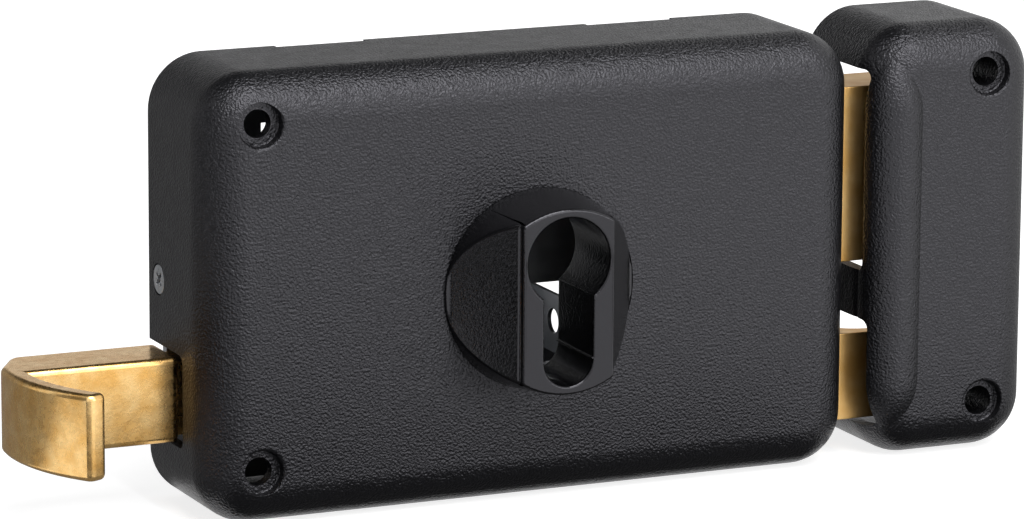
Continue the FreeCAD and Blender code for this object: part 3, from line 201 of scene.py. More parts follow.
def turned(
    name: str, way: Way, centre: Point, steps: Sequence[Point], facets: int = 64
) -> bpy.types.Object:
    """Turn a piece: a disc is extruded along an axis and resized at each step.

    Args:
        name: The piece's name.
        way: The axis that it is turned about.
        centre: A point on that axis. Its coordinate along the axis is not used.
        steps: Pairs of the place along the axis and the radius there.
        facets: Number of sides.

    Returns:
        The turned piece.
    """
    deselect()
    place = Vector(centre)
    place[way.value] = steps[0][0]
    turn = Vector((0, 0, 1)).rotation_difference(way.along(1)).to_euler()
    radius = steps[0][1] * MM
    bpy.ops.mesh.primitive_circle_add(
        vertices=facets, radius=radius, fill_type="NGON", location=place * MM, rotation=turn
    )
    piece = bpy.context.object
    piece.name = name
    settle(piece)
    edit_all(piece)
    for (before, thick), (after, thin) in zip(steps, steps[1:]):
        move = way.along((after - before) * MM)
        bpy.ops.mesh.extrude_region_move(TRANSFORM_OT_translate={"value": move})
        place[way.value] = after
        ratio = thin / thick
        bpy.ops.transform.resize(value=(ratio, ratio, ratio), center_override=place * MM)
    point_outwards(piece)
    return piece


def slot_body(low: Point, high: Point, rounding: float) -> bpy.types.Object:
    """Model what is cut out for a slot in a side wall, with rounded corners at its front.

    Args:
        low: Lowest corner in millimetres.
        high: Highest corner in millimetres.
        rounding: The rounding in millimetres.

    Returns:
        The cutter.
    """
    slot = block("slot", low, high)
    front = low[1] + NEAR
    round_edges(slot, lambda a, b: max(a.y, b.y) < front and abs(a.x - b.x) > NEAR, rounding, 5)
    return slot


def pick_edges(piece: bpy.types.Object, test: EdgeTest) -> None:
    """Go into edit mode with the edges selected that pass a test.

    Args:
        piece: The piece.
        test: Says of an edge's two ends, in millimetres, whether it is selected.
    """
    take(piece)
    mesh = piece.data
    for part in (*mesh.polygons, *mesh.vertices):
        part.select = False
    for edge in mesh.edges:
        start, end = (mesh.vertices[i].co / MM for i in edge.vertices)
        edge.select = test(start, end)
    bpy.context.tool_settings.mesh_select_mode = (False, True, False)
    bpy.ops.object.mode_set(mode="EDIT")


def round_edges(piece: bpy.types.Object, test: EdgeTest, radius: float, segments: int) -> None:
    """Round off the edges that pass a test.

    Args:
        piece: The piece.
        test: Says of an edge's two ends, in millimetres, whether it is rounded.
        radius: The rounding in millimetres.
        segments: How many strips it has.
    """
    pick_edges(piece, test)
    bpy.ops.mesh.bevel(offset=radius * MM, segments=segments, profile=0.5, affect="EDGES")
    bpy.ops.object.mode_set(mode="OBJECT")


def turn_about_x(piece: bpy.types.Object, centre: Point, angle: float) -> None:
    """Turn a piece about a line along X.

    Args:
        piece: The piece.
        centre: A point on the line, in millimetres.
        angle: In degrees.
    """
    edit_all(piece)
    bpy.ops.transform.rotate(
        value=math.radians(angle), orient_axis="X", center_override=Vector(centre) * MM
    )
    bpy.ops.object.mode_set(mode="OBJECT")


def combine(piece: bpy.types.Object, other: bpy.types.Object, how: Join) -> None:
    """Join or cut a piece with another body, which is used up.

    Args:
        piece: The piece that stays.
        other: The body that goes.
        how: What is done.
    """
    modifier = new_modifier(piece, "BOOLEAN")
    modifier.operation = how.value
    modifier.solver = "EXACT"
    modifier.object = other
    bpy.ops.object.modifier_apply(modifier=modifier.name)
    mesh = other.data
    bpy.data.objects.remove(other)
    bpy.data.meshes.remove(mesh)


def cut(piece: bpy.types.Object, *bodies: bpy.types.Object) -> None:
    """Cut bodies out of a piece."""
    for body in bodies:
        combine(piece, body, Join.CUT)


def add(piece: bpy.types.Object, *bodies: bpy.types.Object) -> None:
    """Join bodies to a piece."""
    for body in bodies:
        combine(piece, body, Join.ADD)


def slice_off(piece: bpy.types.Object, point: Point, outward: Point) -> None:
    """Cut a piece by a plane and close it.

    Args:
        piece: The piece.
        point: A point on the plane, in millimetres.
        outward: The direction of the side that goes, of any length.
    """
    edit_all(piece)
    facing = Vector(outward).normalized()
    bpy.ops.mesh.bisect(
        plane_co=Vector(point) * MM, plane_no=facing, use_fill=True, clear_outer=True, threshold=1e-6
    )
    bpy.ops.object.mode_set(mode="OBJECT")


def round_corner(
    piece: bpy.types.Object,
    corner: Point,
    before: Point,
    after: Point,
    radius: float,
    strips: int = 7,
) -> None:
    """Round an upright corner by slices that touch the rounding.

    Args:
        piece: The piece.
        corner: The corner, in millimetres.
        before: The direction in which one side faces.
        after: The direction in which the other side faces.
        radius: The rounding in millimetres.
        strips: How many equal turns lead from one side to the other.
    """
    first, last = Vector(before).normalized(), Vector(after).normalized()
    bisector = (first + last).normalized()
    middle = Vector(corner) - bisector * (radius / bisector.dot(first))
    for step in range(1, strips):
        outward = first.slerp(last, step / strips)
        slice_off(piece, middle + outward * radius, outward)


def soften(piece: bpy.types.Object, width: float, segments: int = 3, angle: float = 30) -> None:
    """Round off all edges sharper than an angle.

    Args:
        piece: The piece.
        width: The rounding in millimetres.
        segments: How many strips it has.
        angle: The least angle in degrees.
    """
    modifier = new_modifier(piece, "BEVEL")
    modifier.width = width * MM
    modifier.segments = segments
    modifier.limit_method = "ANGLE"
    modifier.angle_limit = math.radians(angle)
    modifier.use_clamp_overlap = False
    bpy.ops.object.modifier_apply(modifier=modifier.name)


def shade(piece: bpy.types.Object, angle: float = 30) -> None:
    """Shade a piece smooth, with its flat faces kept flat.

    Args:
        piece: The piece.
        angle: Edges sharper than this stay sharp, in degrees.
    """
    take(piece)
    bpy.ops.object.shade_smooth_by_angle(angle=math.radians(angle))
    modifier = new_modifier(piece, "WEIGHTED_NORMAL")
    modifier.keep_sharp = True
    modifier.weight = 90
    bpy.ops.object.modifier_apply(modifier=modifier.name)


# Finishes. Textures read Object coordinates, in metres, so a grain's size is a real one.


class Sheet:
    """A material's nodes, laid out a node at a time."""

    # Between these two values a noise goes from its dark end to its bright one.
    DARK: float = 0.3
    BRIGHT: float = 0.7

    def __init__(self, name: str, metallic: float = 1.0) -> None:
        """Start a material with one surface shader.

        Args:
            name: The material's name.
            metallic: 1 for a metal and 0 for a coat.
        """
        self.material = bpy.data.materials.new(name)
        self.material.use_nodes = True
        self.tree = self.material.node_tree
        self.surface = self.tree.nodes["Principled BSDF"]
        self.surface.inputs["Metallic"].default_value = metallic
        self.place = self.add("ShaderNodeTexCoord").outputs["Object"]

    def add(self, kind: str, **values: object) -> bpy.types.Node:
        """Add a node.

        Args:
            kind: The node's type.
            values: Settings of the node, or of its sockets by name.

        Returns:
            The node.
        """
        node = self.tree.nodes.new(kind)
        for name, value in values.items():
            if hasattr(node, name):
                setattr(node, name, value)
            else:
                node.inputs[name.replace("_", " ")].default_value = value
        return node

    def link(self, source: bpy.types.NodeSocket, target: bpy.types.NodeSocket) -> None:
        """Run a wire between two sockets."""
        self.tree.links.new(source, target)

    def noise(
        self, size: float, stretch: Point = (1, 1, 1), detail: float = 2
    ) -> bpy.types.NodeSocket:
        """Add a noise texture.

        Args:
            size: The size of its grain in millimetres.
            stretch: How much longer the grain is along each axis.
            detail: Octaves of finer grain.

        Returns:
            The noise as a socket, about 0.5 on average.
        """
        mapping = self.add("ShaderNodeMapping")
        mapping.inputs["Scale"].default_value = [1 / factor for factor in stretch]
        texture = self.add("ShaderNodeTexNoise", Scale=1 / (size * MM), Detail=detail)
        self.link(self.place, mapping.inputs["Vector"])
        self.link(mapping.outputs["Vector"], texture.inputs["Vector"])
        return texture.outputs["Fac"]

    def spread(self, source: bpy.types.NodeSocket, low: float, high: float, target: str) -> None:
        """Drive a socket of the surface by a texture.

        Args:
            source: The texture.
            low: The value where the texture is dark.
            high: The value where it is bright.
            target: The socket's name.
        """
        ramp = self.add("ShaderNodeMapRange")
        ramp.inputs["From Min"].default_value = self.DARK
        ramp.inputs["From Max"].default_value = self.BRIGHT
        ramp.inputs["To Min"].default_value = low
        ramp.inputs["To Max"].default_value = high
        self.link(source, ramp.inputs["Value"])
        self.link(ramp.outputs["Result"], self.surface.inputs[target])

    def tint(self, source: bpy.types.NodeSocket, dark: Point, light: Point) -> None:
        """Colour the surface between two tints by a texture.

        Args:
            source: The texture.
            dark: The colour where it is dark.
            light: The colour where it is bright.
        """
        ramp = self.add("ShaderNodeValToRGB")
        ends = ((self.DARK, dark), (self.BRIGHT, light))
        for element, (position, colour) in zip(ramp.color_ramp.elements, ends):
            element.position = position
            element.color = (*colour, 1)
        self.link(source, ramp.inputs["Fac"])
        self.link(ramp.outputs["Color"], self.surface.inputs["Base Color"])

    def emboss(self, layers: Sequence[tuple[bpy.types.NodeSocket, float, float]]) -> None:
        """Raise the surface by textures.

        Args:
            layers: Each texture with its height in millimetres and its strength.
        """
        last: Optional[bpy.types.Node] = None
        for source, height, strength in layers:
            bump = self.add("ShaderNodeBump", Strength=strength, Distance=height * MM)
            self.link(source, bump.inputs["Height"])
            if last:
                self.link(last.outputs["Normal"], bump.inputs["Normal"])
            last = bump
        self.link(last.outputs["Normal"], self.surface.inputs["Normal"])


@dataclass(frozen=True)
class PowderCoat:
    """Black powder coat: fine pebbles all over and a soft, even, faintly blue sheen."""

    name: str = "powder_coat"
    dark: Point = (0.0028, 0.0028, 0.0034)
    light: Point = (0.0045, 0.0045, 0.0054)
    sheen: Point = (0.93, 0.92, 1.0, 1.0)
    pebble: float = 0.5
    relief: float = 0.28
    grit: float = 0.3
    shine: tuple[float, float] = (0.3, 0.36)

    def make(self) -> bpy.types.Material:
        """Lay out the nodes.

        Returns:
            The material.
        """
        sheet = Sheet(self.name, metallic=0.0)
        sheet.surface.inputs["IOR"].default_value = 1.5
        sheet.surface.inputs["Specular Tint"].default_value = self.sheen
        pebbles = sheet.noise(self.pebble, detail=1)
        sheet.tint(sheet.noise(self.pebble * 2, detail=3), self.dark, self.light)
        sheet.spread(sheet.noise(self.pebble * 6, detail=2), *self.shine, "Roughness")
        sheet.emboss([(pebbles, self.relief, 1.0), (sheet.noise(self.grit, detail=1), 0.03, 0.8)])
        return sheet.material


@dataclass(frozen=True)
class BrushedMetal:
    """Metal brushed along one axis, with slight stains."""

    name: str
    dark: Point
    light: Point
    shine: tuple[float, float] = (0.24, 0.36)
    along: Way = Way.X
    line: float = 0.09
    depth: float = 0.006
    anisotropy: float = 0.35

    def make(self) -> bpy.types.Material:
        """Lay out the nodes.

        Returns:
            The material.
        """
        sheet = Sheet(self.name)
        sheet.surface.inputs["Anisotropic"].default_value = self.anisotropy
        stretch = [60.0 if i == self.along.value else 1.0 for i in range(3)]
        lines = sheet.noise(self.line, stretch, detail=3)
        sheet.tint(sheet.noise(5.0, detail=4), self.dark, self.light)
        sheet.spread(lines, *self.shine, "Roughness")
        sheet.emboss([(lines, self.depth, 0.6), (sheet.noise(2.2, detail=2), 0.01, 0.15)])
        return sheet.material


@dataclass(frozen=True)
class SatinBrass:
    """Tumbled brass: a fine grain all over, slight clouds and a soft shine."""

    name: str = "satin_brass_pull"
    dark: Point = (0.78, 0.44, 0.13)
    light: Point = (0.92, 0.62, 0.27)
    grain: float = 0.55

    def make(self) -> bpy.types.Material:
        """Lay out the nodes.

        Returns:
            The material.
        """
        sheet = Sheet(self.name)
        sheet.tint(sheet.noise(4.0, detail=5), self.dark, self.light)
        sheet.spread(sheet.noise(1.5, detail=4), 0.22, 0.32, "Roughness")
        waves = sheet.noise(6.0, detail=1)
        sheet.emboss([(sheet.noise(self.grain, detail=3), 0.02, 0.6), (waves, 0.12, 0.35)])
        return sheet.material


@dataclass(frozen=True)
class ZincPlate:
    """Bright zinc plating: a cool grey with faint clouds and a fine grain."""

    name: str = "zinc_plating"
    dark: Point = (0.5, 0.52, 0.55)
    light: Point = (0.66, 0.67, 0.69)

    def make(self) -> bpy.types.Material:
        """Lay out the nodes.

        Returns:
            The material.
        """
        sheet = Sheet(self.name)
        clouds = sheet.noise(7.0, detail=5)
        sheet.tint(clouds, self.dark, self.light)
        sheet.spread(sheet.noise(2.5, detail=4), 0.3, 0.48, "Roughness")
        sheet.emboss([(sheet.noise(0.35, detail=2), 0.008, 0.4), (sheet.noise(9.0), 0.05, 0.2)])
        return sheet.material


class Finishes:
    """Every finish of the lock, each made once."""

    def __init__(self) -> None:
        """Make the materials."""
        self.coat = PowderCoat().make()
        # The collar has the cover's black coat, made smoother; its darker tints are painted shade.
        self.collar_coat_painted_shade = PowderCoat(
            name="collar_coat_painted_shade",
            # Darker than the cover's tints: painted shade.
            dark=(0.0012, 0.0012, 0.0015),
            light=(0.0022, 0.0022, 0.0027),
            relief=0.04,
            shine=(0.12, 0.17),
        ).make()
        self.brass_pull = SatinBrass().make()
        self.brass_bolt = BrushedMetal(
            name="satin_brass_bolts",
            dark=SatinBrass.dark,
            light=SatinBrass.light,
            shine=(0.34, 0.44),
            depth=0.0012,
            anisotropy=0.0,
        ).make()
        self.zinc = ZincPlate().make()
        self.steel = BrushedMetal(
            "plain_steel", (0.42, 0.42, 0.43), (0.55, 0.55, 0.56), shine=(0.25, 0.4)
        ).make()
        self.rivet = BrushedMetal(
            "riveted_steel", (0.38, 0.38, 0.4), (0.5, 0.5, 0.52), along=Way.Y
        ).make()
        self.spring = BrushedMetal(
            "spring_steel", (0.2, 0.2, 0.22), (0.3, 0.3, 0.33), shine=(0.22, 0.34)
        ).make()


def hand_over(
    piece: bpy.types.Object, body: str, nodes: Sequence[str], finish: bpy.types.Material
) -> None:
    """Put a finished piece in the place of its CAD nodes.

    Args:
        piece: The finished piece.
        body: The body that it moves with.
        nodes: The CAD nodes that it stands for.
        finish: Its material.
    """
    piece.data.materials.clear()
    piece.data.materials.append(finish)
    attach(piece, body)
    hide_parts(*nodes)
    LOG.info("%s: %d faces", piece.name, len(piece.data.polygons))


@dataclass(frozen=True)
class RoundedShell:
    """A cast box, open at the door's face, with rounded corners and front edges."""

    wall: float = 2.5
    corner: float = 11.0
    edge: float = 9.0
    strips: int = 14

    def body(self, name: str, low: Vector, high: Vector, inset: float) -> bpy.types.Object:
        """Model a solid rounded box, or what is to be cut out of it.

        Args:
            name: The piece's name.
            low: Lowest corner of the whole box.
            high: Highest corner.
            inset: How far inside the box it lies. An inner body runs out past the door's face.

        Returns:
            The rounded body.
        """
        shift = Vector((inset, inset, inset))
        start = low + shift
        end = high - shift
        end.y = high.y + (PAST if inset else 0.0)
        piece = block(name, start, end)
        corner, edge, front = self.corner - inset, self.edge - inset, start.y + NEAR
        round_edges(
            piece, lambda a, b: abs(a.x - b.x) + abs(a.z - b.z) < NEAR, corner, self.strips
        )
        round_edges(piece, lambda a, b: max(a.y, b.y) < front, edge, self.strips)
        return piece


@dataclass(frozen=True)
class ScrewSeat:
    """What is cut out for a fixing screw: a counterbore with a rounded mouth, and its hole."""

    hole: float
    radius: float = 4.4
    recess: float = 2.3
    lip: float = 0.8
    chamfer: float = 0.25
    strips: int = 5

    def cutter(self, x: float, z: float, front: float, end: float) -> bpy.types.Object:
        """Model the cutter.

        Args:
            x: Place along X.
            z: Place along Z.
            front: The front face's Y.
            end: Where the hole ends, in Y.

        Returns:
            The cutter.
        """
        profile = [(front - 3 * PAST, self.radius + self.lip)]
        for step in range(self.strips + 1):
            angle = step / self.strips * math.pi / 2
            depth, inset = self.lip * (1 - math.cos(angle)), self.lip * math.sin(angle)
            profile.append((front + depth, self.radius + self.lip - inset))
        floor = front + self.recess
        profile += [(floor - self.chamfer, self.radius), (floor, self.radius - self.chamfer)]
        profile += [(floor, self.hole), (end, self.hole)]
        return turned("screw_seat", Way.Y, (x, 0, z), profile)


@dataclass(frozen=True)
class SideScrew:
    """A countersunk screw in a side wall of the cover, with a cross recess and a fine second cross.

    The profiles are pairs of the depth under the wall's face and the radius there.
    """

    side: float
    inward: int
    y: float
    z: float
    seat: tuple[Point, ...] = ((-1.0, 3.15), (0.45, 3.15), (1.95, 1.65), (4.0, 1.65))
    profile: tuple[Point, ...] = ((0.1, 2.85), (0.25, 3.0), (0.4, 3.0), (1.85, 1.55), (7.0, 1.55))
    cross: tuple[float, float, float, float] = (-0.5, 1.5, 1.7, 0.42)
    fine_cross: tuple[float, float, float, float] = (-1.0, 0.25, 2.3, 0.09)

    @classmethod
    def pair(cls, span: Span) -> tuple["SideScrew", "SideScrew"]:
        """Return the left and the right screw of a cover."""
        return cls(span.low.x, 1, -5.1, -5.7), cls(span.high.x, -1, -12.0, -18.1)

    def steps(self, profile: Sequence[Point]) -> list[Point]:
        """Return a profile with its depths as places along X."""
        return [(self.side + depth * self.inward, radius) for depth, radius in profile]

    def countersink(self) -> bpy.types.Object:
        """Model what is cut out of the wall."""
        return turned("countersink", Way.X, (0, self.y, self.z), self.steps(self.seat), facets=40)

    def build(self) -> bpy.types.Object:
        """Model the screw.

        Returns:
            The screw, with both crosses cut.
        """
        steps = self.steps(self.profile)
        screw = turned("side_screw", Way.X, (0, self.y, self.z), steps, facets=48)
        for sizes, angles in ((self.cross, (45, 135)), (self.fine_cross, (0, 90))):
            for angle in angles:
                cut(screw, self.blade(*sizes, angle))
        return screw

    def blade(
        self, start: float, end: float, arm: float, half: float, angle: float
    ) -> bpy.types.Object:
        """Model one arm pair of a cross.

        Args:
            start: Its depth where it begins.
            end: Its depth where it ends.
            arm: Half its length.
            half: Half its width.
            angle: Its turn about the screw, in degrees.

        Returns:
            The cutter.
        """
        x0, x1 = sorted((self.side + start * self.inward, self.side + end * self.inward))
        body = block("blade", (x0, self.y - arm, self.z - half), (x1, self.y + arm, self.z + half))
        turn_about_x(body, (self.side, self.y, self.z), angle)
        return body


@dataclass
class Collar:
    """The coned collar with its flat flanks and the profile-cylinder hole."""

    finishes: Finishes
    z: float = -7.95
    spigot: float = 18.2
    foot: float = 20.2
    foot_rim: float = 0.4
    top: float = 18.4
    flat: float = 9.75
    flat_reach: float = 25.0
    flat_z: tuple[float, float] = (-40.0, 25.0)
    land_depth: float = 1.6
    ramp_overlap: float = 0.1
    ramp_end: float = 0.6
    ramp_run: float = 9.6
    hole: float = 8.75
    slot: float = 5.25
    slot_z: tuple[float, float] = (-19.4, -4.0)
    edge: float = 0.55

    def build(self) -> None:
        """Model and dress the collar."""
        span = Span.of("cylinder_collar")
        front, base, rear = span.low.y, Span.of("case_cover").low.y, span.high.y
        steps = [(rear, self.spigot), (base, self.spigot), (base, self.foot)]
        steps += [(base - self.foot_rim, self.foot), (front, self.top)]
        piece = turned("collar", Way.Y, (0, 0, self.z), steps, facets=128)
        for side in (-1, 1):
            cut(piece, *self.flank(side, front, base))
        start, end = front - PAST, rear + PAST
        low, high = self.slot_z
        ends = [(start, self.hole), (end, self.hole)]
        cut(piece, turned("round", Way.Y, (0, 0, 0), ends, facets=96))
        cut(piece, block("slot", (-self.slot, start, low), (self.slot, end, high)))
        ends = [(start, self.slot), (end, self.slot)]
        cut(piece, turned("slot_end", Way.Y, (0, 0, low), ends))
        soften(piece, self.edge, angle=28)
        shade(piece, angle=40)
        hand_over(piece, "case", ["cylinder_collar"], self.finishes.collar_coat_painted_shade)

    def flank(self, side: int, front: float, base: float) -> Sequence[bpy.types.Object]:
        """Model what is cut off one side: a flat land and the ramp that runs out from it.

        Args:
            side: -1 for the left side and 1 for the right one.
            front: The collar's front.
            base: The cover's front.

        Returns:
            Both cutters.
        """
        x0, x1 = sorted((side * self.flat, side * self.flat_reach))
        z0, z1 = self.flat_z
        land_end = front + self.land_depth
        land = block("land", (x0, front - PAST, z0), (x1, land_end, z1))
        ramp = block("ramp", (x0, land_end - self.ramp_overlap, z0), (x1, base - self.ramp_end, z1))
        inner = self.flat + NEAR
        rear = base - PAST
        pick_edges(ramp, lambda a, b: max(abs(a.x), abs(b.x)) < inner and min(a.y, b.y) > rear)
        bpy.ops.transform.translate(value=(side * self.ramp_run * MM, 0, 0))
        bpy.ops.object.mode_set(mode="OBJECT")
        return land, ramp


@dataclass
class Case:
    """The cast cover and its two side screws."""

    finishes: Finishes
    shell: RoundedShell
    collar_z: float
    seat: ScrewSeat = ScrewSeat(hole=2.8)
    screw_x: float = -58.3
    screw_z: tuple[float, float] = (28.6, -39.8)
    hole_depth: float = 8.0
    boss: float = 6.0
    boss_depth: tuple[float, float] = (2.0, 4.9)
    collar_hole: float = 18.3
    collar_hole_depth: float = 4.0
    slot_depth: float = 3.5
    slot_rounding: float = 1.8
    pull_front: float = -18.0
    pull_play: float = 0.8
    bolt_play: float = 0.5
    bolt_front_play: float = 0.6
    notch_middle: float = 33.6
    notch_length: float = 19.0
    notch_depth: float = 1.5

    def cover(self) -> None:
        """Model and dress the cast cover."""
        span = Span.of("case_cover")
        piece = self.shell.body("cover", span.low, span.high, 0.0)
        cut(piece, self.shell.body("hollow", span.low, span.high, self.shell.wall))
        front = span.low.y
        for z in self.screw_z:
            ends = [(front + depth, self.boss) for depth in self.boss_depth]
            add(piece, turned("boss", Way.Y, (self.screw_x, 0, z), ends))
        for z in self.screw_z:
            cut(piece, self.seat.cutter(self.screw_x, z, front, front + self.hole_depth))
        ends = [(front - PAST, self.collar_hole), (front + self.collar_hole_depth, self.collar_hole)]
        cut(piece, turned("collar_hole", Way.Y, (0, 0, self.collar_z), ends, facets=96))
        for low, high in self.slots(span):
            cut(piece, slot_body(low, high, self.slot_rounding))
        half, top = self.notch_length / 2, span.high.z
        for middle in (-self.notch_middle, self.notch_middle):
            low = (middle - half, -self.notch_depth, top - self.slot_depth)
            cut(piece, block("notch", low, (middle + half, PAST, top + PAST)))
        for screw in SideScrew.pair(span):
            cut(piece, screw.countersink())
        shade(piece)
        hand_over(piece, "case", ["case_cover"], self.finishes.coat)

    def slots(self, span: Span) -> list[tuple[Point, Point]]:
        """Place the slots of the pull and of both bolts.

        Args:
            span: The cover's box.

        Returns:
            The lowest and the highest corner of each.
        """
        pull = Span.of("pull_handle")
        left, right = span.low.x, span.high.x
        low = (left - PAST, self.pull_front, pull.low.z - self.pull_play)
        places = [(low, (left + self.slot_depth, PAST, pull.high.z + self.pull_play))]
        for node in ("dead_bolt", "latch_bolt"):
            bolt = Span.of(node)
            front = bolt.low.y - self.bolt_front_play
            low = (right - self.slot_depth, front, bolt.low.z - self.bolt_play)
            places.append((low, (right + PAST, PAST, bolt.high.z + self.bolt_play)))
        return places

    def side_screws(self) -> None:
        """Model and dress both side screws as one piece."""
        piece, other = [screw.build() for screw in SideScrew.pair(Span.of("case_cover"))]
        take(piece)
        other.select_set(True)
        bpy.ops.object.join()
        piece.name = "side_screws_pair"
        shade(piece)
        hand_over(piece, "case", ["side_screws"], self.finishes.zinc)


@dataclass
class Strike:
    """The strike: a rounded box with a bead along its left edge and two notches for the bolts."""

    finishes: Finishes
    shell: RoundedShell
    seat: ScrewSeat = ScrewSeat(hole=3.0)
    face: float = -31.0
    bead_radius: float = 6.5
    bead_rise: float = 1.6
    straight: float = 17.0
    taper: float = 13.0
    thinner: float = 4.8
    taper_steps: int = 12
    screw_from_right: float = 11.6
    screw_z: tuple[float, float] = (27.85, -40.55)
    tube: float = 6.0
    tube_depth: float = 1.8
    notches: tuple[tuple[float, float, float], ...] = ((-11.9, 29.3, -26.4), (-44.2, -21.8, -28.3))
    notch_depth: float = 5.5
    notch_rounding: float = 1.8

    def bead(self, span: Span, inset: float) -> bpy.types.Object:
        """Model the bead, or the hollow inside it, as a bar that tapers in a bow at both ends.

        Args:
            span: The strike's box.
            inset: How far inside its skin it lies.

        Returns:
            The bar.
        """
        radius = self.bead_radius - inset
        steps = []
        for i in range(self.taper_steps, 0, -1):
            share = i / self.taper_steps
            z = span.low.z + self.straight - self.taper * share
            steps.append((z, radius - self.thinner * share**2))
        ends = [(span.low.z + span.high.z - z, r) for z, r in reversed(steps)]
        steps += [(span.low.z + self.straight, radius), (span.high.z - self.straight, radius)] + ends
        centre = (span.low.x + self.bead_radius, self.face - self.bead_rise + self.bead_radius, 0)
        return turned("bead", Way.Z, centre, steps, facets=96)

    def build(self) -> None:
        """Model and dress the strike."""
        span = Span.of("strike_box")
        low = Vector((span.low.x, self.face, span.low.z))
        piece = self.shell.body("strike", low, span.high, 0.0)
        add(piece, self.bead(span, 0.0))
        inner = self.shell.body("hollow", low, span.high, self.shell.wall)
        add(inner, self.bead(span, self.shell.wall))
        cut(piece, inner)
        x = span.high.x - self.screw_from_right
        for z in self.screw_z:
            ends = [(0, self.tube), (self.face + self.tube_depth, self.tube)]
            add(piece, turned("tube", Way.Y, (x, 0, z), ends, facets=48))
        for z in self.screw_z:
            cut(piece, self.seat.cutter(x, z, self.face, PAST))
        for z0, z1, reach in self.notches:
            high = (span.low.x + self.notch_depth, PAST, z1)
            cut(piece, slot_body((span.low.x - PAST, reach, z0), high, self.notch_rounding))
        shade(piece)
        hand_over(piece, "strike", ["strike_box"], self.finishes.coat)


@dataclass
class Bolts:
    """The two brass bolts that leave the case at the right."""

    finishes: Finishes
    ramp: float = 10.0
    ramp_gap: float = 0.5
    kerf_y: tuple[float, float] = (-16.25, -13.75)
    kerf_length: float = 16.0
    tip_chamfer: float = 0.8
    edge: float = 0.25

    def build(self) -> None:
        """Model and dress both bolts."""
        self.dead_bolt()
        self.latch_bolt()

    def finish(self, piece: bpy.types.Object, span: Span, body: str, node: str) -> None:
        """Cut the slot in a bolt's inner end, soften its edges and dress it.

        Args:
            piece: The bolt.
            span: Its box.
            body: The body that it moves with.
            node: The CAD node that it stands for.
        """
        rear, front = self.kerf_y
        low = (span.low.x - PAST, rear, span.low.z - PAST)
        cut(piece, block("kerf", low, (span.low.x + self.kerf_length, front, span.high.z + PAST)))
        soften(piece, self.edge, segments=2)
        shade(piece, angle=35)
        hand_over(piece, body, [node], self.finishes.brass_bolt)

    def dead_bolt(self) -> None:
        """Model the dead bolt with its bevelled tip."""
        span = Span.of("dead_bolt")
        piece = block("dead_bolt_block", span.low, span.high)
        tip = span.high.x - NEAR
        round_edges(piece, lambda a, b: min(a.x, b.x) > tip, self.tip_chamfer, segments=1)
        self.finish(piece, span, "bolt", "dead_bolt")

    def latch_bolt(self) -> None:
        """Model the latch bolt with its hollowed ramp."""
        span = Span.of("latch_bolt")
        piece = block("latch_bolt_block", span.low, span.high)
        middle = Span.of("case_cover").high.x + self.ramp_gap + self.ramp
        rear = span.high.y
        low, high = span.low.z - PAST, span.high.z + PAST
        ends = [(low, self.ramp), (high, self.ramp)]
        cut(piece, turned("scoop", Way.Z, (middle, rear, 0), ends, facets=96))
        start, end = (middle, rear - self.ramp, low), (span.high.x + PAST, rear + PAST, high)
        cut(piece, block("rest", start, end))
        self.finish(piece, span, "latch", "latch_bolt")


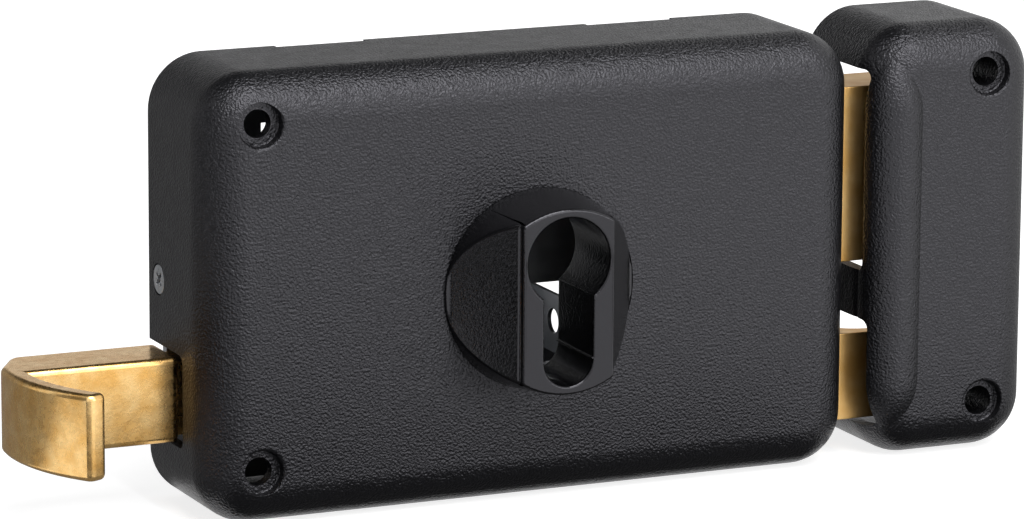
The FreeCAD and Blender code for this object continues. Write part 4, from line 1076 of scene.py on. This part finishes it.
@dataclass
class Pull:
    """The brass pull: its bar, the hook for the finger and the tongue that is riveted to the slide.

    Its outline is cut from a disc about the point that the hook bends round, and its rims are
    rounded last.
    """

    finishes: Finishes
    centre: tuple[float, float, float] = (-66.5, -15.0, 0.0)
    outer: float = 37.6
    stock: float = 4.3
    facets: int = 96
    bar_end: float = -69.0
    bar_rear: float = -1.4
    heel: tuple[float, float, float] = (-103.6, -9.0, 0.0)
    heel_side: tuple[float, float, float] = (-7.6, 4.5, 0.0)
    heel_rounding: float = 3.5
    tip: tuple[float, float, float] = (-95.85, -38.5, 0.0)
    tip_side: tuple[float, float, float] = (1.7, -4.15, 0.0)
    tip_rounding: float = 2.0
    inner_tip_rounding: float = 1.8
    end_rounding: float = 1.4
    rim: float = 1.2
    neck_inset: float = 1.25
    neck_end: float = -52.4
    neck_rear: float = -4.0
    tongue_end: float = -36.0
    tongue_overlap: float = 4.0
    tongue_top: float = -28.4

    def build(self) -> None:
        """Model and dress the pull."""
        span = Span.of("pull_handle")
        low, high = span.low.z, span.high.z
        inner = self.outer - self.stock
        ends = [(low, self.outer), (high, self.outer)]
        piece = turned("pull", Way.Z, self.centre, ends, self.facets)
        slice_off(piece, (0, self.bar_rear, 0), (0, 1, 0))
        slice_off(piece, (self.bar_end, 0, 0), (1, 0, 0))
        slice_off(piece, self.heel, self.heel_side)
        ends = [(low - 2 * PAST, inner), (high + 2 * PAST, inner)]
        hollow = turned("hollow", Way.Z, self.centre, ends, self.facets)
        slice_off(hollow, self.centre, (0, 1, 0))
        cut(piece, hollow)
        slice_off(piece, self.tip, self.tip_side)
        for corner, before, after, rounding in (
            (self.tip, self.skin(self.tip), self.tip_side, self.tip_rounding),
            (self.heel, self.skin(self.heel), self.heel_side, self.heel_rounding),
            (self.rear_corner(), self.heel_side, (0, 1, 0), self.heel_rounding),
        ):
            round_corner(piece, corner, before, after, rounding)
        self.round_inner_tip(piece, inner)
        end = self.bar_end - NEAR
        upright = (high - low) / 2
        round_edges(
            piece,
            lambda a, b: min(a.x, b.x) > end and abs(a.z - b.z) > upright,
            self.end_rounding,
            segments=5,
        )
        self.add_neck(piece, low, high)
        round_edges(
            piece,
            lambda a, b: abs(a.z - b.z) < NEAR and not low + NEAR < a.z < high - NEAR,
            self.rim,
            segments=5,
        )
        shade(piece, angle=35)
        hand_over(piece, "latch", ["pull_handle"], self.finishes.brass_pull)

    def skin(self, point: Point) -> Vector:
        """Return the direction in which the hook's outer skin faces at a point."""
        return Vector(point) - Vector(self.centre)

    def rear_corner(self) -> Vector:
        """Work out where the heel's slant meets the rear.

        Returns:
            That point, in millimetres.
        """
        heel, side = Vector(self.heel), Vector(self.heel_side)
        rise = self.bar_rear - heel.y
        return heel + Vector((-rise * side.y / side.x, rise, 0))

    def round_inner_tip(self, piece: bpy.types.Object, inner: float) -> None:
        """Round the edge where the hook's tip meets its hollow side.

        Args:
            piece: The pull.
            inner: The radius of the hollow side, in millimetres.
        """
        facing = Vector(self.tip_side).normalized()

        def at_inner_tip(start: Vector, end: Vector) -> bool:
            """Find the upright edge at the tip, on the hollow side.

            Args:
                start: One end of an edge.
                end: The other end.

            Returns:
                Whether it is that edge.
            """
            on_tip = abs((start - Vector(self.tip)).dot(facing)) < 2 * NEAR
            reach = (start - Vector(self.centre)).xy.length
            return on_tip and abs(reach - inner) < 10 * NEAR and abs(start.z - end.z) > NEAR

        round_edges(piece, at_inner_tip, self.inner_tip_rounding, segments=6)

    def add_neck(self, piece: bpy.types.Object, low: float, high: float) -> None:
        """Add the narrower neck that enters the case, and the tongue on it.

        Args:
            piece: The pull.
            low: The bar's lowest Z.
            high: The bar's highest Z.
        """
        front = self.centre[1] + self.neck_inset
        bottom, top = low + self.neck_inset, high - self.neck_inset
        start, joint = self.bar_end - 2 * self.rim, self.neck_end - self.tongue_overlap
        rear = self.neck_rear
        add(piece, block("neck", (start, front, bottom), (self.neck_end, rear, top)))
        add(piece, block("tongue", (joint, front, bottom), (self.tongue_end, rear, self.tongue_top)))


@dataclass
class Mechanism:
    """The CAD nodes that stay, each in its finish, and the latch spring."""

    finishes: Finishes
    nodes: dict[str, bpy.types.Object]
    wire: float = 0.5
    facets: int = 12
    turns: int = 9
    steps: int = 24
    travel: float = 14.0

    def build(self) -> None:
        """Wind the spring and dress the kept nodes."""
        self.spring()
        plain = ("bolt_plate", "latch_slide", "latch_lever", "collar_clamp", "spring_rod")
        riveted = ("bolt_rivets", "latch_rivets", "pull_rivets", "tumbler_rivets", "bolt_guide_post")
        riveted += ("latch_guide_post", "lever_pivot", "slide_stud")
        for names, finish in (
            (plain, self.finishes.steel),
            (riveted, self.finishes.rivet),
            (("tumbler",), self.finishes.spring),
            (("back_plate", "collar_screws"), self.finishes.zinc),
        ):
            for name in names:
                self.dress(name, finish)

    def dress(self, name: str, finish: bpy.types.Material) -> None:
        """Give a CAD node its finish.

        Args:
            name: The node's name.
            finish: The material.
        """
        node = self.nodes[name]
        for slot in node.material_slots:
            slot.material = finish
        LOG.info("%s: dressed", name)

    def spring(self) -> None:
        """Wind the latch spring. In the lock it is squashed as the latch bolt is drawn back."""
        span = Span.of("latch_spring")
        middle = (span.low + span.high) / 2
        length = span.high.x - span.low.x
        start = Vector((span.low.x + self.wire, middle.y, middle.z))
        deselect()
        bpy.ops.mesh.primitive_circle_add(
            vertices=self.facets, radius=self.wire * MM, location=start * MM
        )
        piece = bpy.context.object
        piece.name = "latch_spring_coil"
        edit_all(piece)
        bpy.ops.transform.rotate(value=math.pi / 2, orient_axis="X")
        coil = (span.high.z - span.low.z) / 2 - self.wire
        bpy.ops.transform.translate(value=(0, 0, coil * MM))
        screw = new_modifier(piece, "SCREW")
        screw.axis = "X"
        screw.steps = screw.render_steps = self.steps
        screw.iterations = self.turns
        screw.screw_offset = (length - 2 * self.wire) / self.turns * MM
        bpy.ops.object.modifier_apply(modifier=screw.name)
        settle(piece)
        edit_all(piece)
        bpy.ops.mesh.fill_holes(sides=self.facets)
        point_outwards(piece)
        shade(piece)
        hand_over(piece, "case", ["latch_spring"], self.finishes.spring)
        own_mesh(piece)


def glowing(
    piece: bpy.types.Object, grey: float, roughness: float, glow: float
) -> bpy.types.Material:
    """Give a piece of the set an even grey that also glows white.

    Args:
        piece: The piece, after which the material is named.
        grey: The grey, from 0 to 1.
        roughness: Its roughness.
        glow: How strongly it glows.

    Returns:
        The material.
    """
    material = bpy.data.materials.new(piece.name)
    material.use_nodes = True
    surface = material.node_tree.nodes["Principled BSDF"]
    surface.inputs["Base Color"].default_value = (grey, grey, grey, 1)
    surface.inputs["Roughness"].default_value = roughness
    surface.inputs["Emission Color"].default_value = (1, 1, 1, 1)
    surface.inputs["Emission Strength"].default_value = glow
    piece.data.materials.append(material)
    return material


def dress_card(card: bpy.types.Object, glow: float) -> None:
    """Make a card glow evenly and keep it out of the picture.

    Args:
        card: The card.
        glow: How bright it is.
    """
    glowing(card, 0.01, 1.0, glow)
    card.visible_camera = False
    card.visible_shadow = False


@dataclass(frozen=True)
class Flag:
    """A grey card that stands beside the set, unseen by the camera, and shows in reflections.

    The angle is counted from the left side (-X) round to the front, in degrees. Its heights and
    its distance are in metres.
    """

    name: str
    angle: float
    span: float
    low: float
    high: float
    grey: float
    distance: float = 0.6

    def build(self) -> None:
        """Stand the card up, facing the object."""
        turn = math.radians(self.angle)
        width = 2 * self.distance * math.tan(math.radians(self.span / 2))
        place = Vector((-math.cos(turn), -math.sin(turn), 0)) * self.distance
        place.z = (self.low + self.high) / 2
        deselect()
        upright = (math.pi / 2, 0, turn - math.pi / 2)
        bpy.ops.mesh.primitive_plane_add(size=1, location=place, rotation=upright)
        card = bpy.context.object
        card.name = self.name
        card.scale = (width, self.high - self.low, 1)
        settle(card)
        dress_card(card, self.grey)


@dataclass(frozen=True)
class Lamp:
    """A soft square lamp that faces the object. Its place and its size are in metres."""

    name: str
    place: tuple[float, float, float]
    size: float
    power: float

    def build(self) -> None:
        """Hang the lamp."""
        data = bpy.data.lights.new(self.name, "AREA")
        data.size = self.size
        data.energy = self.power
        lamp = bpy.data.objects.new(self.name, data)
        bpy.context.scene.collection.objects.link(lamp)
        lamp.location = self.place
        lamp.rotation_euler = (-Vector(self.place)).to_track_quat("-Z", "Y").to_euler()


@dataclass
class Studio:
    """The floor, the lamps, the cards, the white surroundings and the camera.

    The overhead card is given by its two ends in X and in Y. Each card at the lock's foot has its
    ends in X, its ends in Y and its grey. The camera's angles are in degrees.
    """

    lens: float = 195.12
    sensor: float = 36.0
    target: tuple[float, float, float] = (8.4666, 0.0, -9.1961)
    distance: float = 1119.99
    yaw: float = 24.3446
    pitch: float = 12.0975
    roll: float = 0.3474
    ambient: float = 0.2
    floor_size: float = 12.0
    floor_grey: float = 0.5
    floor_roughness: float = 0.9
    floor_glow: float = 0.8
    overhead: tuple[float, float, float, float] = (-900, 900, -280, 800)
    overhead_height: float = 1300.0
    overhead_stock: float = 1.0
    overhead_grey: float = 0.02
    foot_lift: float = 0.5
    foot_stock: float = 0.1
    # Some of these cards put painted shade into the lock's reflections: the dark cards right in
    # front of the foot of the case and of the strike, the one in front of the pull and the one in
    # the gap between the case and the strike stand in for the shadow that the lock casts on the
    # floor. The others give its surroundings their greys.
    foot: tuple[tuple[float, float, float, float, float], ...] = (
        # Painted shade: the case's shadow on the floor in front of its foot.
        (-70, 71, -70, -27, 0.08),
        # Painted shade: the hook's shadow on the floor in front of the pull.
        (-140, -20, -110, -70, 0.4),
        # Painted shade: the strike's shadow on the floor in front of its foot.
        (74, 150, -50, -27, 0.08),
        (-120, -70.5, -70, 0, 0.2),
        (-600, -235, -75, 0, 0.08),
        (-340, -100, -160, -60, 0.01),
        (-600, -70.5, 0, 700, 0.2),
        (-70, 112, 1, 700, 0.1),
        (113, 600, -50, 700, 0.4),
        # Painted shade: the shade on the floor in the gap between the case and the strike.
        (71, 73.8, -27, 1, 0.02),
    )
    flags: tuple[Flag, ...] = (
        Flag("flag_left", 5, 40, -0.05, 0.55, 0.15),
        Flag("flag_left_rear", -65, 60, -0.05, 0.24, 0.25),
        Flag("flag_rear", -110, 50, -0.05, 0.24, 0.7),
        Flag("flag_right", 208, 56, -0.05, 0.5, 0.8),
        Flag("flag_rear_high", -90, 110, 0.24, 1.5, 0.02, 0.62),
    )
    lamps: tuple[Lamp, ...] = (
        Lamp("lamp_key", (0.1, -1.1, 1.7), 1.5, 40.0),
        Lamp("lamp_front", (1.0, -1.9, 0.5), 1.2, 12.0),
    )

    def build(self) -> None:
        """Set the scene up."""
        self.surroundings()
        self.floor()
        self.cards()
        for lamp in self.lamps:
            lamp.build()
        self.camera()
        bpy.context.scene.view_settings.view_transform = "Standard"

    def surroundings(self) -> None:
        """Make the world white to the eye and in reflections, and a plain light on the object."""
        world = bpy.data.worlds.new("studio")
        bpy.context.scene.world = world
        world.use_nodes = True
        tree = world.node_tree
        back = tree.nodes["Background"]
        back.inputs["Color"].default_value = (1, 1, 1, 1)
        tree.links.new(self.seen(tree, self.ambient, 1.0), back.inputs["Strength"])

    @staticmethod
    def seen(tree: bpy.types.NodeTree, lit: float, shown: float) -> bpy.types.NodeSocket:
        """Return a strength that is one value to the eye and in reflections, and another as light.

        Args:
            tree: The node tree.
            lit: The value as light.
            shown: The value to the eye, in reflections and through glass.

        Returns:
            The value's socket.
        """
        path = tree.nodes.new("ShaderNodeLightPath")
        last = path.outputs["Is Camera Ray"]
        for ray in ("Is Glossy Ray", "Is Transmission Ray"):
            either = tree.nodes.new("ShaderNodeMath")
            either.operation = "MAXIMUM"
            tree.links.new(last, either.inputs[0])
            tree.links.new(path.outputs[ray], either.inputs[1])
            last = either.outputs["Value"]
        mix = tree.nodes.new("ShaderNodeMapRange")
        mix.inputs["To Min"].default_value = lit
        mix.inputs["To Max"].default_value = shown
        tree.links.new(last, mix.inputs["Value"])
        return mix.outputs["Result"]

    def floor(self) -> None:
        """Lay a white floor that keeps the object's shadow."""
        deselect()
        bottom = Span.of("case_cover").low.z
        bpy.ops.mesh.primitive_plane_add(size=self.floor_size, location=(0, 0, bottom * MM))
        floor = bpy.context.object
        floor.name = "studio_floor"
        settle(floor)
        tree = glowing(floor, self.floor_grey, self.floor_roughness, 0.0).node_tree
        strength = tree.nodes["Principled BSDF"].inputs["Emission Strength"]
        tree.links.new(self.seen(tree, 0.0, self.floor_glow), strength)

    def cards(self) -> None:
        """Stand up the cards that give the lock its edges, and lay others at its foot and above."""
        for flag in self.flags:
            flag.build()
        bottom = Span.of("case_cover").low.z + self.foot_lift
        top = bottom + self.foot_stock
        # Part of the foot cards are painted shade: they stand in for the lock's shadow on the floor
        # in its reflections.
        for number, (x0, x1, y0, y1, grey) in enumerate(self.foot):
            dress_card(block("foot_card_%d" % number, (x0, y0, bottom), (x1, y1, top)), grey)
        x0, x1, y0, y1 = self.overhead
        height = self.overhead_height
        card = block("overhead_card", (x0, y0, height), (x1, y1, height + self.overhead_stock))
        dress_card(card, self.overhead_grey)

    def camera(self) -> None:
        """Set the camera up as the photograph was taken."""
        data = bpy.data.cameras.new("camera")
        data.lens = self.lens
        data.sensor_width = self.sensor
        data.clip_end = 100
        camera = bpy.data.objects.new("camera", data)
        bpy.context.scene.collection.objects.link(camera)
        yaw, pitch = math.radians(self.yaw), math.radians(self.pitch)
        level = math.cos(pitch)
        forward = Vector((math.sin(yaw) * level, math.cos(yaw) * level, -math.sin(pitch)))
        roll = Matrix.Rotation(math.radians(self.roll), 3, "Z")
        turn = forward.to_track_quat("-Z", "Y").to_matrix() @ roll
        camera.rotation_euler = turn.to_euler()
        camera.location = (Vector(self.target) - forward * self.distance) * MM
        bpy.context.scene.camera = camera


def main() -> None:
    """Build the lock piece by piece, then the studio around it."""
    logging.basicConfig(level=logging.INFO, format="%(name)s %(message)s")
    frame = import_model()
    finishes = Finishes()
    shell = RoundedShell()
    Mechanism(finishes, frame["nodes"]).build()
    collar = Collar(finishes)
    case = Case(finishes, shell, collar.z)
    case.cover()
    collar.build()
    case.side_screws()
    Strike(finishes, shell).build()
    Bolts(finishes).build()
    Pull(finishes).build()
    Studio().build()
    deselect()


if __name__ == "__main__":
    main()
